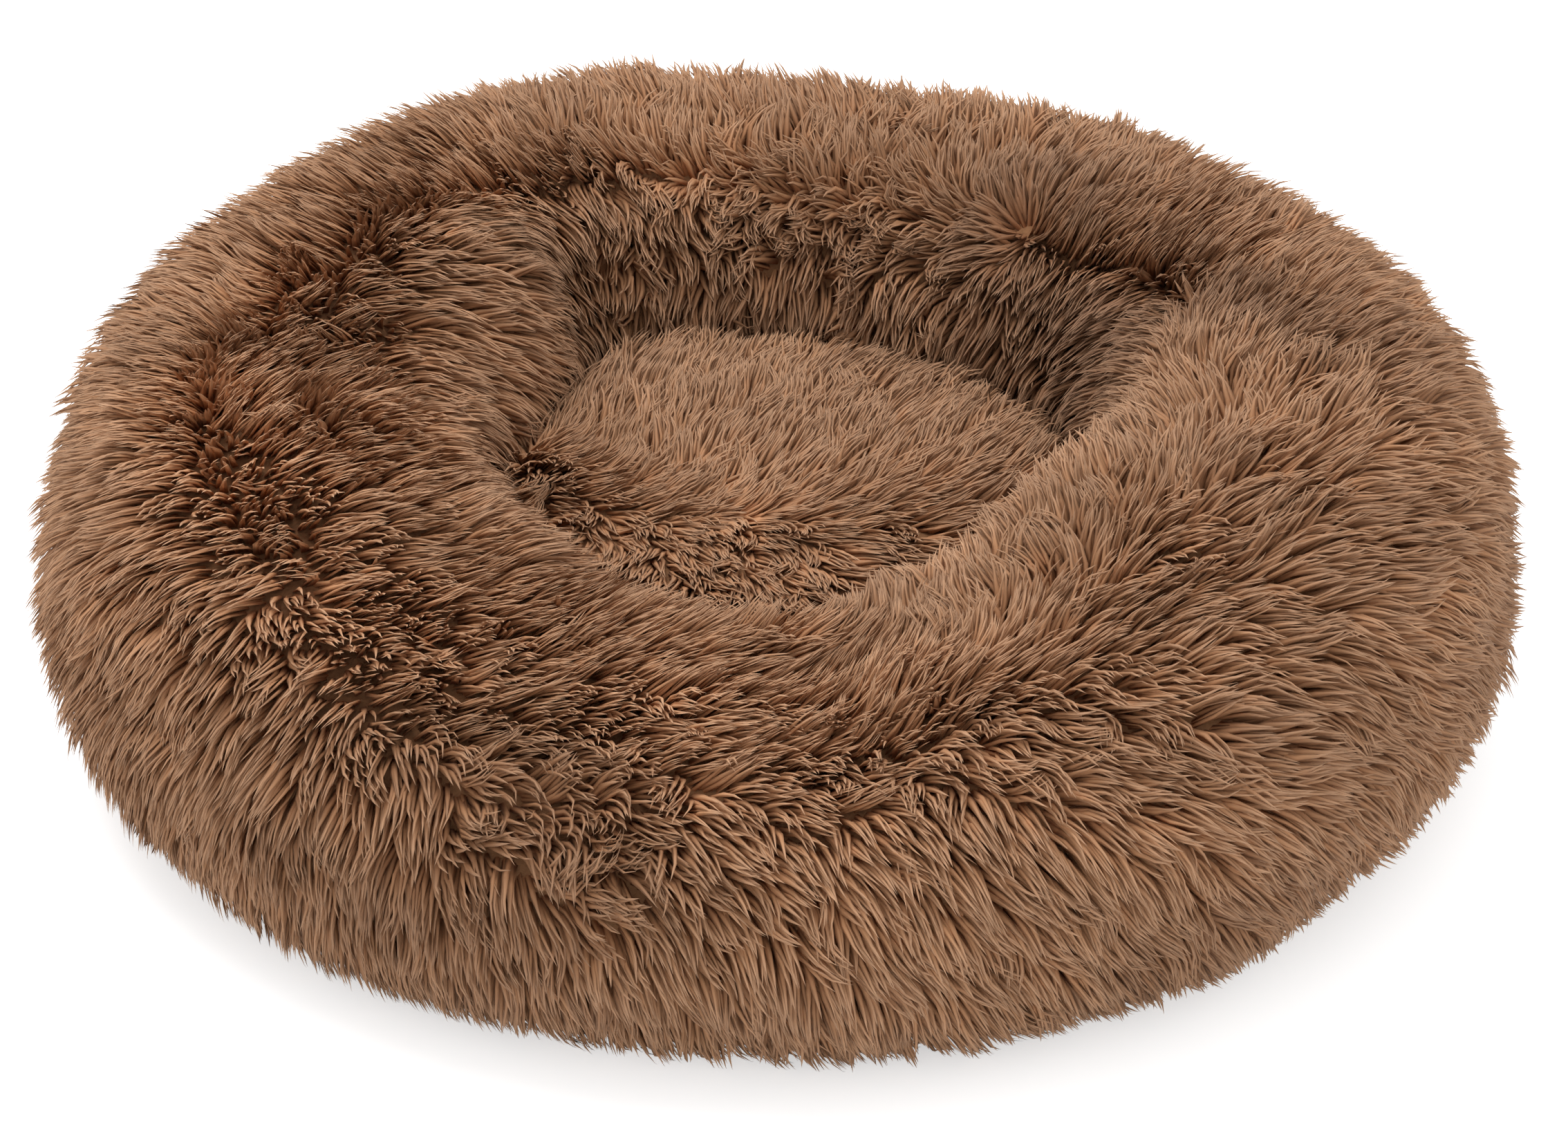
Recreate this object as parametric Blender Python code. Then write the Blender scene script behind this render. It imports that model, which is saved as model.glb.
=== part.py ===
"""Donut pet bed: a plush ring round a sunken plush seat, on a base cloth with a curved zip at its back.

Metres, +Z up. The origin is on the floor at the middle of the bed, +Y is the back of the bed.
Every soft solid is turned round the Z axis from its section and then settled: one function gives them all the
same slumped, lumpy form, so that what is nested stays nested.
"""
import math

import bmesh
import bpy
from mathutils import Vector

# Bed, over the pile
BED_RADIUS = 0.2975
BED_HEIGHT = 0.1575         # mean height of the ring's crest
NEST_RADIUS = 0.1265        # mean opening between the ring's pile tips
SEAT_CROWN_HEIGHT = 0.103   # middle of the seat
SEAT_EDGE_HEIGHT = 0.090    # where the seat's pile meets the ring's
FOOT_TUCK = 0.055           # how far the wall draws in towards the floor
FOOT_LIFT = 0.002           # pile tips over the floor

# Cloths
RING_PILE = 0.0225          # plush of the ring as it lies, with its backing
SEAT_PILE = 0.024
SQUASHED_PLUSH = 0.003      # plush pressed flat between the seat and the ring
LINING_CLOTH = 0.0015
BASE_CLOTH = 0.0016
TAPE_CLOTH = 0.0008
SOFT_GAP = 0.0004           # between nested soft pieces
SEAM_GAP = 0.0003           # between pieces that are sewn to each other

# Grip dots under the base
DOT_HEIGHT = 0.0012
DOT_RADIUS = 0.004
DOT_SPACING = 0.062
DOT_MARGIN = 0.012          # clear rim of the flat base
DOT_SIDES = 8
DOT_SINK = 0.0004           # into the cloth

# Seams
BASE_RISE_RUN = 0.016       # slope from the flat base up to the edge
BASE_LEDGE = 0.002          # flat cloth inside the zip's cut-out
SEAT_SEAM_WIDTH = 0.019
BINDING_WIDTH = 0.012

# Zip
ZIP_ANGLE = math.radians(72)
ZIP_CLEARANCE = 0.0143      # middle of the chain, out from the foot of the ring's lining
ZIP_HEIGHT = 0.0085         # middle of the chain over the floor
TOOTH_PITCH = 0.0042
TOOTH_WIDTH = 0.0019
TOOTH_THICKNESS = 0.0024
TOOTH_REACH = 0.0006        # how far a head passes the middle of the chain
TOOTH_ROOT = 0.0026         # from the middle of the chain to the foot of the teeth
TOOTH_SPINE = 0.0008        # cord that the teeth are moulded on
TAPE_TAIL = 0.012           # tape past each end of the chain
TAPE_OVERLAP = 0.006        # tape sewn under or over the cloth's edge
STOP_LENGTH = 0.0028

# Slider and pull tab
SLIDER_LENGTH = 0.013
SLIDER_WIDTH = 0.010
SLIDER_PLATE = 0.001
CHAIN_CLEARANCE = 0.0003    # between teeth and plates
FLANGE_WIDTH = 0.001
FLANGE_DEPTH = 0.0007
DIVIDER_WIDTH = 0.0016
DIVIDER_LENGTH = 0.0032
SLIDER_CLEARANCE = 0.002    # from the slider's sides to the cloth edges
BAIL_LENGTH = 0.008
BAIL_WIDTH = 0.002
BAIL_BAR = 0.001
BAIL_FOOT = 0.0015
BAIL_ROOM = 0.0023          # between the bail's bar and the plate
PULL_THICKNESS = 0.0012
PULL_LENGTH = 0.024
PULL_WIDTH = 0.0064
PULL_NECK_WIDTH = 0.0058
PULL_CLEARANCE = 0.0004     # round the bail

# Roundness of the sections, as powers of their superellipses
CREST_POWER = 2.3
WALL_POWER = 2.2
LINING_CREST_POWER = 2.3
LINING_OUTER_FOOT_POWER = 1.8
FOOT_ANGLE = math.radians(67.5)     # where the walls turn in to the floor
LINING_INNER_FOOT_POWER = 6.0
PAD_POWER = 3.0
CROWN_POWER = 2.4
SQUASH_POWER = 2.0

# Facets
AZIMUTH_STEPS = 36
SECTION_STEP = math.radians(22.5)
WALL_STEP = math.radians(22.5)
ARC_STEP = math.radians(2.5)
BINDING_STEP = math.radians(5)
POINT_MERGE = 0.000001

# Settled form, every 30 degrees from +X towards +Y, as shares of BED_HEIGHT, NEST_RADIUS and BED_RADIUS
height_shares = (1.10, 1.04, 1.01, 1.03, 1.09, 1.04, 1.01, 1.00, 0.84, 0.72, 0.87, 1.07)
nest_shares = (1.03, 1.02, 1.02, 1.04, 1.08, 0.88, 0.89, 0.92, 0.95, 1.00, 0.89, 0.85)
bed_shares = (0.990, 1.005, 1.005, 1.000, 1.000, 0.985, 0.980, 1.000, 1.010, 0.995, 1.010, 1.010)
SETTLE_FROM = 0.016         # below this height nothing has settled

# Heights and radii that follow
ring_middle = (BED_RADIUS + NEST_RADIUS) / 2
ring_half_width = (BED_RADIUS - NEST_RADIUS) / 2
tube_half_width = ring_half_width - RING_PILE
lining_foot_radius = ring_middle + tube_half_width * math.cos(FOOT_ANGLE) ** (2 / LINING_OUTER_FOOT_POWER)
zip_radius = lining_foot_radius + ZIP_CLEARANCE
base_bottom = DOT_HEIGHT
base_top = base_bottom + BASE_CLOTH
tape_bottom = ZIP_HEIGHT - TAPE_CLOTH / 2
tape_top = ZIP_HEIGHT + TAPE_CLOTH / 2
edge_top = tape_bottom - SEAM_GAP
edge_bottom = edge_top - BASE_CLOTH
inner_edge_radius = zip_radius - SLIDER_WIDTH / 2 - SLIDER_CLEARANCE
outer_edge_radius = zip_radius + SLIDER_WIDTH / 2 + SLIDER_CLEARANCE
rim_radius = outer_edge_radius + TAPE_OVERLAP
rim_wall = (rim_radius + SEAM_GAP) / math.cos(math.pi / AZIMUTH_STEPS)    # clear of it at mid facet too
flat_radius = inner_edge_radius - BASE_LEDGE - BASE_RISE_RUN
ring_mid_height = BED_HEIGHT / 2
tube_up = BED_HEIGHT - RING_PILE - ring_mid_height
tube_down = ring_mid_height - base_top
tail_foot = base_top + SEAM_GAP + TAPE_CLOTH + SEAM_GAP
pad_top = SEAT_CROWN_HEIGHT - SEAT_PILE
pad_middle = (base_top + pad_top) / 2
pad_half_height = (pad_top - base_top) / 2
zip_start = math.pi / 2 - ZIP_ANGLE / 2
zip_end = math.pi / 2 + ZIP_ANGLE / 2
tooth_turn = TOOTH_PITCH / zip_radius
teeth_count = int(ZIP_ANGLE / tooth_turn) - 1     # in a row, with room for the slider past them

# Colours are linear
PLUSH = ("plush", (0.275, 0.144, 0.082), 0.9, 0.0)
BASE = ("base_fabric", (0.105, 0.066, 0.045), 0.85, 0.0)
LINING = ("lining_fabric", (0.72, 0.69, 0.63), 0.9, 0.0)
FIBRE = ("fibre", (0.86, 0.85, 0.82), 1.0, 0.0)
TAPE = ("tape_fabric", (0.12, 0.07, 0.045), 0.8, 0.0)
TEETH = ("zip_plastic", (0.10, 0.06, 0.04), 0.45, 0.0)
METAL = ("zip_metal", (0.20, 0.14, 0.09), 0.35, 0.9)


def clear_scene():
    for old in list(bpy.data.objects):
        bpy.data.objects.remove(old, do_unlink=True)


def get_material(name, colour, roughness, metallic):
    material = bpy.data.materials.get(name)
    if material is None:
        material = bpy.data.materials.new(name)
        material.use_nodes = True
        shader = material.node_tree.nodes["Principled BSDF"]
        shader.inputs["Base Color"].default_value = (*colour, 1.0)
        shader.inputs["Roughness"].default_value = roughness
        shader.inputs["Metallic"].default_value = metallic
    return material


def add_object(name, bm, finish, smooth=True):
    bmesh.ops.recalc_face_normals(bm, faces=bm.faces)
    mesh = bpy.data.meshes.new(name)
    bm.to_mesh(mesh)
    bm.free()
    if smooth:
        mesh.shade_smooth()
        mesh.set_sharp_from_angle(angle=math.radians(50))
    mesh.materials.append(get_material(*finish))
    piece = bpy.data.objects.new(name, mesh)
    bpy.context.scene.collection.objects.link(piece)
    return piece


def hide_tool(piece):
    piece.hide_render = True
    piece.display_type = 'WIRE'


def combine(piece, tool, operation):
    boolean = piece.modifiers.new(operation.lower(), 'BOOLEAN')
    boolean.operation = operation
    boolean.solver = 'EXACT'
    boolean.object = tool
    hide_tool(tool)


def revolve(section):
    """Turn a section, a list of (radius, height), round the Z axis. A solid one starts and ends on the axis."""
    bm = bmesh.new()
    points = [bm.verts.new((radius, 0, height)) for radius, height in section]
    edges = [bm.edges.new(pair) for pair in zip(points, points[1:])]
    if section[0][0] > 0:
        edges.append(bm.edges.new((points[-1], points[0])))
    bmesh.ops.spin(bm, geom=points + edges, cent=(0, 0, 0), axis=(0, 0, 1), angle=math.tau,
                   steps=AZIMUTH_STEPS, use_merge=True)
    bmesh.ops.remove_doubles(bm, verts=bm.verts, dist=POINT_MERGE)
    return bm


def sweep(section, start, end, step=ARC_STEP):
    """Turn a closed section from the start angle to the end angle, with its two ends capped."""
    bm = bmesh.new()
    points = [bm.verts.new((radius * math.cos(start), radius * math.sin(start), height))
              for radius, height in section]
    edges = [bm.edges.new(pair) for pair in zip(points, points[1:] + points[:1])]
    bmesh.ops.spin(bm, geom=points + edges, cent=(0, 0, 0), axis=(0, 0, 1), angle=end - start,
                   steps=max(1, math.ceil((end - start) / step)))
    bmesh.ops.holes_fill(bm, edges=[edge for edge in bm.edges if edge.is_boundary], sides=0)
    return bm


def rectangle(inner, outer, bottom, top):
    return [(inner, bottom), (outer, bottom), (outer, top), (inner, top)]


# Settling

def smooth_step(value, low, high):
    share = min(1, max(0, (value - low) / (high - low)))
    return share * share * (3 - 2 * share)


def round_share(shares, angle):
    """Read a table of shares round the bed with a smooth curve through its values."""
    place = (angle % math.tau) / math.tau * len(shares)
    first = int(place)
    part = place - first
    before, here, after, beyond = (shares[(first + step) % len(shares)] for step in (-1, 0, 1, 2))
    bend = 2 * before - 5 * here + 4 * after - beyond
    twist = 3 * here - before - 3 * after + beyond
    return here + part / 2 * (after - before + part * (bend + part * twist))


def settle_point(point):
    """Slump a point of a soft piece: the ring's height, opening and outer wall vary round the bed."""
    radius = math.hypot(point.x, point.y)
    if point.z <= SETTLE_FROM or radius == 0:
        return point
    angle = math.atan2(point.y, point.x)
    risen = smooth_step(point.z, SETTLE_FROM, ring_mid_height)
    in_ring = smooth_step(radius, NEST_RADIUS / 2, ring_middle)
    outside = smooth_step(radius, ring_middle, BED_RADIUS)
    near_nest = smooth_step(radius, 0, NEST_RADIUS) * (1 - smooth_step(radius, NEST_RADIUS, ring_middle))
    height = (point.z - SETTLE_FROM) * (round_share(height_shares, angle) - 1) * in_ring
    wall = BED_RADIUS * (round_share(bed_shares, angle) - 1) * outside
    opening = NEST_RADIUS * (round_share(nest_shares, angle) - 1) * near_nest
    new_radius = radius + risen * (wall + opening)
    return Vector((new_radius * math.cos(angle), new_radius * math.sin(angle), point.z + height))


def split_quads(bm, middle, mid_height, sense):
    """Cut each four-sided face along the diagonal that climbs round the section as it goes round the bed."""
    def place(vertex):
        radius = math.hypot(vertex.co.x, vertex.co.y) - middle
        return math.atan2(vertex.co.y, vertex.co.x), math.atan2(vertex.co.z - mid_height, radius)

    def turned(start, end):
        return math.remainder(end - start, math.tau)

    for face in [face for face in bm.faces if len(face.verts) == 4]:
        first, second, third, fourth = face.verts
        (azimuth, turn), (far_azimuth, far_turn) = place(first), place(third)
        climbs = turned(azimuth, far_azimuth) * turned(turn, far_turn) * sense > 0
        bmesh.utils.face_split(face, *((first, third) if climbs else (second, fourth)))


def settle(bm, middle=None, mid_height=None):
    """Settle a turned piece. Faces are cut alike first, so that nested pieces bend alike and stay apart."""
    if middle is None:
        split_quads(bm, ring_middle, ring_mid_height, 1)
    else:
        split_quads(bm, middle, mid_height, -1)
    for vertex in bm.verts:
        vertex.co = settle_point(vertex.co)
    return bm


# Sections

def power_point(middle, mid_height, half_width, half_height, power, angle):
    """A point of a superellipse: power 2 is an ellipse, and a higher one is squarer."""
    across, up = math.cos(angle), math.sin(angle)
    reach = 2 / power
    return (middle + half_width * math.copysign(abs(across) ** reach, across),
            mid_height + half_height * math.copysign(abs(up) ** reach, up))


def angles(start, end, step):
    count = max(1, round(abs(end - start) / step))
    return [start + index * (end - start) / count for index in range(count + 1)]


def tube_point(angle, inset):
    """The ring's backing and, with an inset, the lining and filling inside it. Angle 0 faces out of the bed."""
    if math.sin(angle) >= 0:
        power, half_height = LINING_CREST_POWER, tube_up
    elif math.cos(angle) >= 0:
        power, half_height = LINING_OUTER_FOOT_POWER, tube_down
    else:
        power, half_height = LINING_INNER_FOOT_POWER, tube_down
    return power_point(ring_middle, ring_mid_height, tube_half_width - inset, half_height - inset, power, angle)


def pad_point(angle, inset):
    """The seat cover's backing and, with an inset, the lining and filling inside it."""
    return power_point(0, pad_middle, pad_half_width - inset, pad_half_height - inset, PAD_POWER, angle)


def backing_radius(height):
    """Inner side of the ring's backing at a height."""
    half_height, power = (tube_up, LINING_CREST_POWER) if height > ring_mid_height else (
        tube_down, LINING_INNER_FOOT_POWER)
    share = abs(height - ring_mid_height) / half_height
    return ring_middle - tube_half_width * (1 - share ** power) ** (1 / power)


def contact_radius(height):
    """Where the ring's plush meets the seat's, pressed flatter towards the floor."""
    share = (height - tail_foot) / (SEAT_EDGE_HEIGHT - tail_foot)
    squashed = SQUASHED_PLUSH + (RING_PILE - SQUASHED_PLUSH) * share ** SQUASH_POWER
    return backing_radius(max(height, foot_bend[1])) - squashed


foot_bend = tube_point(math.radians(-135), 0)
pad_half_width = contact_radius(pad_middle) - SEAM_GAP - SQUASHED_PLUSH
contact_shares = (1.0, 0.8, 0.6, 0.35, 0.0)
contact_heights = [tail_foot + share * (SEAT_EDGE_HEIGHT - tail_foot) for share in contact_shares]


def wall_point(angle):
    """Pile tips of the ring from the floor over the outer wall and the crest towards the nest."""
    if math.sin(angle) < 0:
        return power_point(BED_RADIUS - FOOT_TUCK, ring_mid_height, FOOT_TUCK,
                           ring_mid_height - FOOT_LIFT, WALL_POWER, angle)
    return power_point(ring_middle, ring_mid_height, ring_half_width, BED_HEIGHT - ring_mid_height,
                       CREST_POWER, angle)


def ring_cover_section():
    wall = [wall_point(angle) for angle in angles(-FOOT_ANGLE, 0, WALL_STEP)]
    tips = [(rim_wall, FOOT_LIFT)] + [point for point in wall if point[0] > rim_wall]
    crest = [wall_point(angle) for angle in angles(0, math.pi, WALL_STEP)[1:]]
    tips += [point for point in crest if point[1] > SEAT_EDGE_HEIGHT or point[0] > ring_middle]
    contact = [(contact_radius(height), height) for height in contact_heights]
    tail = [(foot_bend[0], tail_foot), foot_bend]
    backing = [tube_point(angle, 0) for angle in angles(math.radians(-45), math.radians(202.5), SECTION_STEP)]
    backing.reverse()
    edge = [(outer_edge_radius, tape_top + SEAM_GAP), (rim_wall, tape_top + SEAM_GAP)]
    return tips + contact + tail + backing + edge


def seat_crown(share):
    """Height of the seat's pile tips at a share of its radius."""
    return SEAT_EDGE_HEIGHT + (SEAT_CROWN_HEIGHT - SEAT_EDGE_HEIGHT) * (1 - share ** CROWN_POWER)


def seat_cover_section():
    edge_radius = contact_radius(SEAT_EDGE_HEIGHT) - SEAM_GAP
    crown_shares = (0.0, 0.3, 0.55, 0.75, 0.9)
    crown = [(share * edge_radius, seat_crown(share)) for share in crown_shares]
    side = [(contact_radius(height) - SEAM_GAP, height) for height in contact_heights]
    inner_heights = [height for height in reversed(contact_heights) if height < pad_middle]
    tail = [(contact_radius(height) - SEAM_GAP - SQUASHED_PLUSH, height) for height in inner_heights]
    backing = [pad_point(angle, 0) for angle in angles(0, math.pi / 2, SECTION_STEP)]
    backing[-1] = (0, pad_top)
    return crown + side + tail + backing


def tube_panel_section(start, end):
    """One of the ring lining's two ring-shaped cloths."""
    outer = [tube_point(angle, SOFT_GAP) for angle in angles(start, end, SECTION_STEP)]
    inner = [tube_point(angle, SOFT_GAP + LINING_CLOTH) for angle in angles(start, end, SECTION_STEP)]
    return outer + inner[::-1]


def pad_panel_section(start, end):
    """One of the seat lining's two discs of cloth, from its edge at angle 0 to the axis."""
    outer = [pad_point(angle, SOFT_GAP) for angle in angles(start, end, SECTION_STEP)]
    inner = [pad_point(angle, SOFT_GAP + LINING_CLOTH) for angle in angles(start, end, SECTION_STEP)]
    for wall in (outer, inner):
        wall[-1] = (0, wall[-1][1])
    return outer[::-1] + inner


def part_seam(section):
    """Lift a panel's edge off the middle seam by half the gap there."""
    middle = section[0][1] if section[0][0] > 0 else section[len(section) // 2][1]
    side = 1 if sum(height for _, height in section) / len(section) > middle else -1
    return [(radius, height + side * SEAM_GAP / 2 if abs(height - middle) < SEAM_GAP else height)
            for radius, height in section]


# Soft pieces

def build_ring():
    add_object("ring_cover", settle(revolve(ring_cover_section())), PLUSH)
    top = part_seam(tube_panel_section(0, math.pi))
    add_object("ring_lining_top", settle(revolve(top)), LINING)
    bottom = part_seam(tube_panel_section(-math.pi, 0))
    add_object("ring_lining_bottom", settle(revolve(bottom)), LINING)
    inset = SOFT_GAP + LINING_CLOTH + SOFT_GAP
    filling = [tube_point(angle, inset) for angle in angles(-math.pi, math.pi, SECTION_STEP)[:-1]]
    add_object("ring_filling", settle(revolve(filling)), FIBRE)


def build_seat():
    add_object("seat_cover", settle(revolve(seat_cover_section()), 0, pad_middle), PLUSH)
    top = part_seam(pad_panel_section(0, math.pi / 2))
    add_object("seat_lining_top", settle(revolve(top), 0, pad_middle), LINING)
    bottom = part_seam(pad_panel_section(0, -math.pi / 2))
    add_object("seat_lining_bottom", settle(revolve(bottom), 0, pad_middle), LINING)
    inset = SOFT_GAP + LINING_CLOTH + SOFT_GAP
    filling = [pad_point(angle, inset) for angle in angles(-math.pi / 2, math.pi / 2, SECTION_STEP)]
    filling[0] = (0, filling[0][1])
    filling[-1] = (0, filling[-1][1])
    add_object("seat_filling", settle(revolve(filling), 0, pad_middle), FIBRE)


# Base

def dot_places():
    """Rows of dots in a triangular grid round the middle of the base."""
    reach = flat_radius - DOT_MARGIN - DOT_RADIUS
    row_pitch = DOT_SPACING * math.sqrt(3) / 2
    rows = int(reach / row_pitch)
    places = []
    for row in range(-rows, rows + 1):
        shift = DOT_SPACING / 2 if row % 2 else 0
        columns = int(reach / DOT_SPACING) + 1
        for column in range(-columns, columns + 1):
            place = (column * DOT_SPACING + shift, row * row_pitch)
            if math.hypot(*place) <= reach:
                places.append(place)
    return places


def build_base():
    ledge_radius = inner_edge_radius - BASE_LEDGE
    section = [(0, base_top), (flat_radius, base_top), (ledge_radius, edge_top), (rim_radius, edge_top),
               (rim_radius, edge_bottom), (ledge_radius + BASE_CLOTH / 2, edge_bottom),
               (flat_radius + BASE_CLOTH / 2, base_bottom), (0, base_bottom)]
    base = add_object("base_cloth", revolve(section), BASE)
    dots = bmesh.new()
    for across, along in dot_places():
        made = bmesh.ops.create_cone(dots, cap_ends=True, segments=DOT_SIDES, radius1=DOT_RADIUS,
                                     radius2=DOT_RADIUS, depth=DOT_HEIGHT + DOT_SINK)
        middle = Vector((across, along, (DOT_HEIGHT + DOT_SINK) / 2))
        bmesh.ops.translate(dots, verts=made["verts"], vec=middle)
    combine(base, add_object("dots_tool", dots, BASE, smooth=False), 'UNION')
    margin = (TAPE_TAIL - SLIDER_CLEARANCE) / zip_radius
    window = sweep(rectangle(inner_edge_radius, rim_radius + SLIDER_CLEARANCE, 0, ZIP_HEIGHT),
                   zip_start - margin, zip_end + margin)
    combine(base, add_object("zip_window_tool", window, BASE, smooth=False), 'DIFFERENCE')


def build_seams():
    seam = contact_radius(tail_foot)
    tape = rectangle(seam - SEAT_SEAM_WIDTH / 2, seam + SEAT_SEAM_WIDTH / 2,
                     base_top + SEAM_GAP, base_top + SEAM_GAP + TAPE_CLOTH)
    add_object("seat_seam_tape", revolve(tape), TAPE, smooth=False)
    tail = TAPE_TAIL / zip_radius + SEAM_GAP / zip_radius
    binding = rectangle(rim_radius - BINDING_WIDTH, rim_radius, tape_bottom, tape_top)
    band = sweep(binding, zip_end + tail, zip_start - tail + math.tau, BINDING_STEP)
    add_object("edge_binding", band, TAPE, smooth=False)


# Zip

def comb_outline(side):
    """Plan of a row of teeth, as (radius, angle). The inner row, side -1, has its heads pointing outwards."""
    half_tooth = TOOTH_WIDTH / 2 / zip_radius
    offset = tooth_turn / 2 if side > 0 else 0
    back = zip_radius + side * (TOOTH_ROOT + TOOTH_SPINE)
    root = zip_radius + side * TOOTH_ROOT
    tip = zip_radius - side * TOOTH_REACH
    first = zip_start + offset
    outline = []
    for index in range(teeth_count):
        angle = first + (index + 0.5) * tooth_turn
        outline += [(root, angle - half_tooth), (tip, angle - half_tooth), (tip, angle + half_tooth),
                    (root, angle + half_tooth)]
    spine = angles(first, first + teeth_count * tooth_turn, ARC_STEP)
    outline = [(root, first)] + outline + [(root, spine[-1])]
    return outline + [(back, angle) for angle in reversed(spine)]


def build_teeth(name, side):
    bm = bmesh.new()
    bottom = ZIP_HEIGHT - TOOTH_THICKNESS / 2
    corners = [bm.verts.new((radius * math.cos(angle), radius * math.sin(angle), bottom))
               for radius, angle in comb_outline(side)]
    face = bm.faces.new(corners)
    grown = bmesh.ops.extrude_face_region(bm, geom=[face])
    lifted = [item for item in grown["geom"] if isinstance(item, bmesh.types.BMVert)]
    bmesh.ops.translate(bm, verts=lifted, vec=Vector((0, 0, TOOTH_THICKNESS)))
    add_object(name, bm, TEETH, smooth=False)


def build_tapes():
    tail = TAPE_TAIL / zip_radius
    clear = TOOTH_ROOT + TOOTH_SPINE + SEAM_GAP
    inner = rectangle(inner_edge_radius - TAPE_OVERLAP, zip_radius - clear, tape_bottom, tape_top)
    outer = rectangle(zip_radius + clear, rim_radius, tape_bottom, tape_top)
    add_object("zip_tape_inner", sweep(inner, zip_start - tail, zip_end + tail), TAPE, smooth=False)
    add_object("zip_tape_outer", sweep(outer, zip_start - tail, zip_end + tail), TAPE, smooth=False)


def build_stops():
    low, high = ZIP_HEIGHT - TOOTH_THICKNESS / 2, ZIP_HEIGHT + TOOTH_THICKNESS / 2
    reach = TOOTH_ROOT + TOOTH_SPINE
    length = STOP_LENGTH / zip_radius
    gap = SEAM_GAP / zip_radius
    inner_row_end = zip_start + teeth_count * tooth_turn
    for name, side, row_end in (("zip_top_stop_inner", -1, inner_row_end),
                                ("zip_top_stop_outer", 1, inner_row_end + tooth_turn / 2)):
        near, far = sorted((zip_radius + side * reach, zip_radius + side * DIVIDER_WIDTH))
        stop = rectangle(near, far, low, high)
        add_object(name, sweep(stop, row_end + gap, row_end + gap + length), METAL, smooth=False)
    stop = rectangle(zip_radius - reach, zip_radius + reach, low, high)
    add_object("zip_bottom_stop", sweep(stop, zip_start - gap - length, zip_start - gap), METAL, smooth=False)
    return inner_row_end + tooth_turn / 2


def build_slider(row_end):
    """Two plates with flanges that hold the chain, a divider between them and a bail underneath."""
    half_channel = TOOTH_THICKNESS / 2 + CHAIN_CLEARANCE
    divider_start = row_end + SEAM_GAP / zip_radius
    divider_end = divider_start + DIVIDER_LENGTH / zip_radius
    end = divider_end
    start = end - SLIDER_LENGTH / zip_radius
    inner, outer = zip_radius - SLIDER_WIDTH / 2, zip_radius + SLIDER_WIDTH / 2
    plates = []
    for side in (-1, 1):
        face = ZIP_HEIGHT + side * half_channel
        back = face + side * SLIDER_PLATE
        lip = face - side * FLANGE_DEPTH
        plates.append([(inner, back), (outer, back), (outer, lip), (outer - FLANGE_WIDTH, lip),
                       (outer - FLANGE_WIDTH, face), (inner + FLANGE_WIDTH, face), (inner + FLANGE_WIDTH, lip),
                       (inner, lip)])
    slider = add_object("zip_slider", sweep(plates[0], start, end), METAL, smooth=False)
    combine(slider, add_object("slider_plate_tool", sweep(plates[1], start, end), METAL, smooth=False), 'UNION')
    half_plate = SLIDER_PLATE / 2
    post = rectangle(zip_radius - DIVIDER_WIDTH / 2, zip_radius + DIVIDER_WIDTH / 2,
                     ZIP_HEIGHT - half_channel - half_plate, ZIP_HEIGHT + half_channel + half_plate)
    shy = SEAM_GAP / 2 / zip_radius
    divider = sweep(post, divider_start, divider_end - shy)
    combine(slider, add_object("divider_tool", divider, METAL, smooth=False), 'UNION')
    middle = (start + end) / 2
    plate_face = ZIP_HEIGHT - half_channel - SLIDER_PLATE
    bail_half = BAIL_LENGTH / 2 / zip_radius
    bail = rectangle(zip_radius - BAIL_WIDTH / 2, zip_radius + BAIL_WIDTH / 2,
                     plate_face - BAIL_ROOM - BAIL_BAR, plate_face + half_plate)
    band = sweep(bail, middle - bail_half, middle + bail_half)
    bail_piece = add_object("bail_tool", band, METAL, smooth=False)
    eye_half = bail_half - BAIL_FOOT / zip_radius
    eye = rectangle(zip_radius - BAIL_WIDTH, zip_radius + BAIL_WIDTH, plate_face - BAIL_ROOM, plate_face)
    eye_band = sweep(eye, middle - eye_half, middle + eye_half)
    eye_piece = add_object("bail_eye_tool", eye_band, METAL, smooth=False)
    combine(bail_piece, eye_piece, 'DIFFERENCE')
    combine(slider, bail_piece, 'UNION')
    return middle, plate_face


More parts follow.
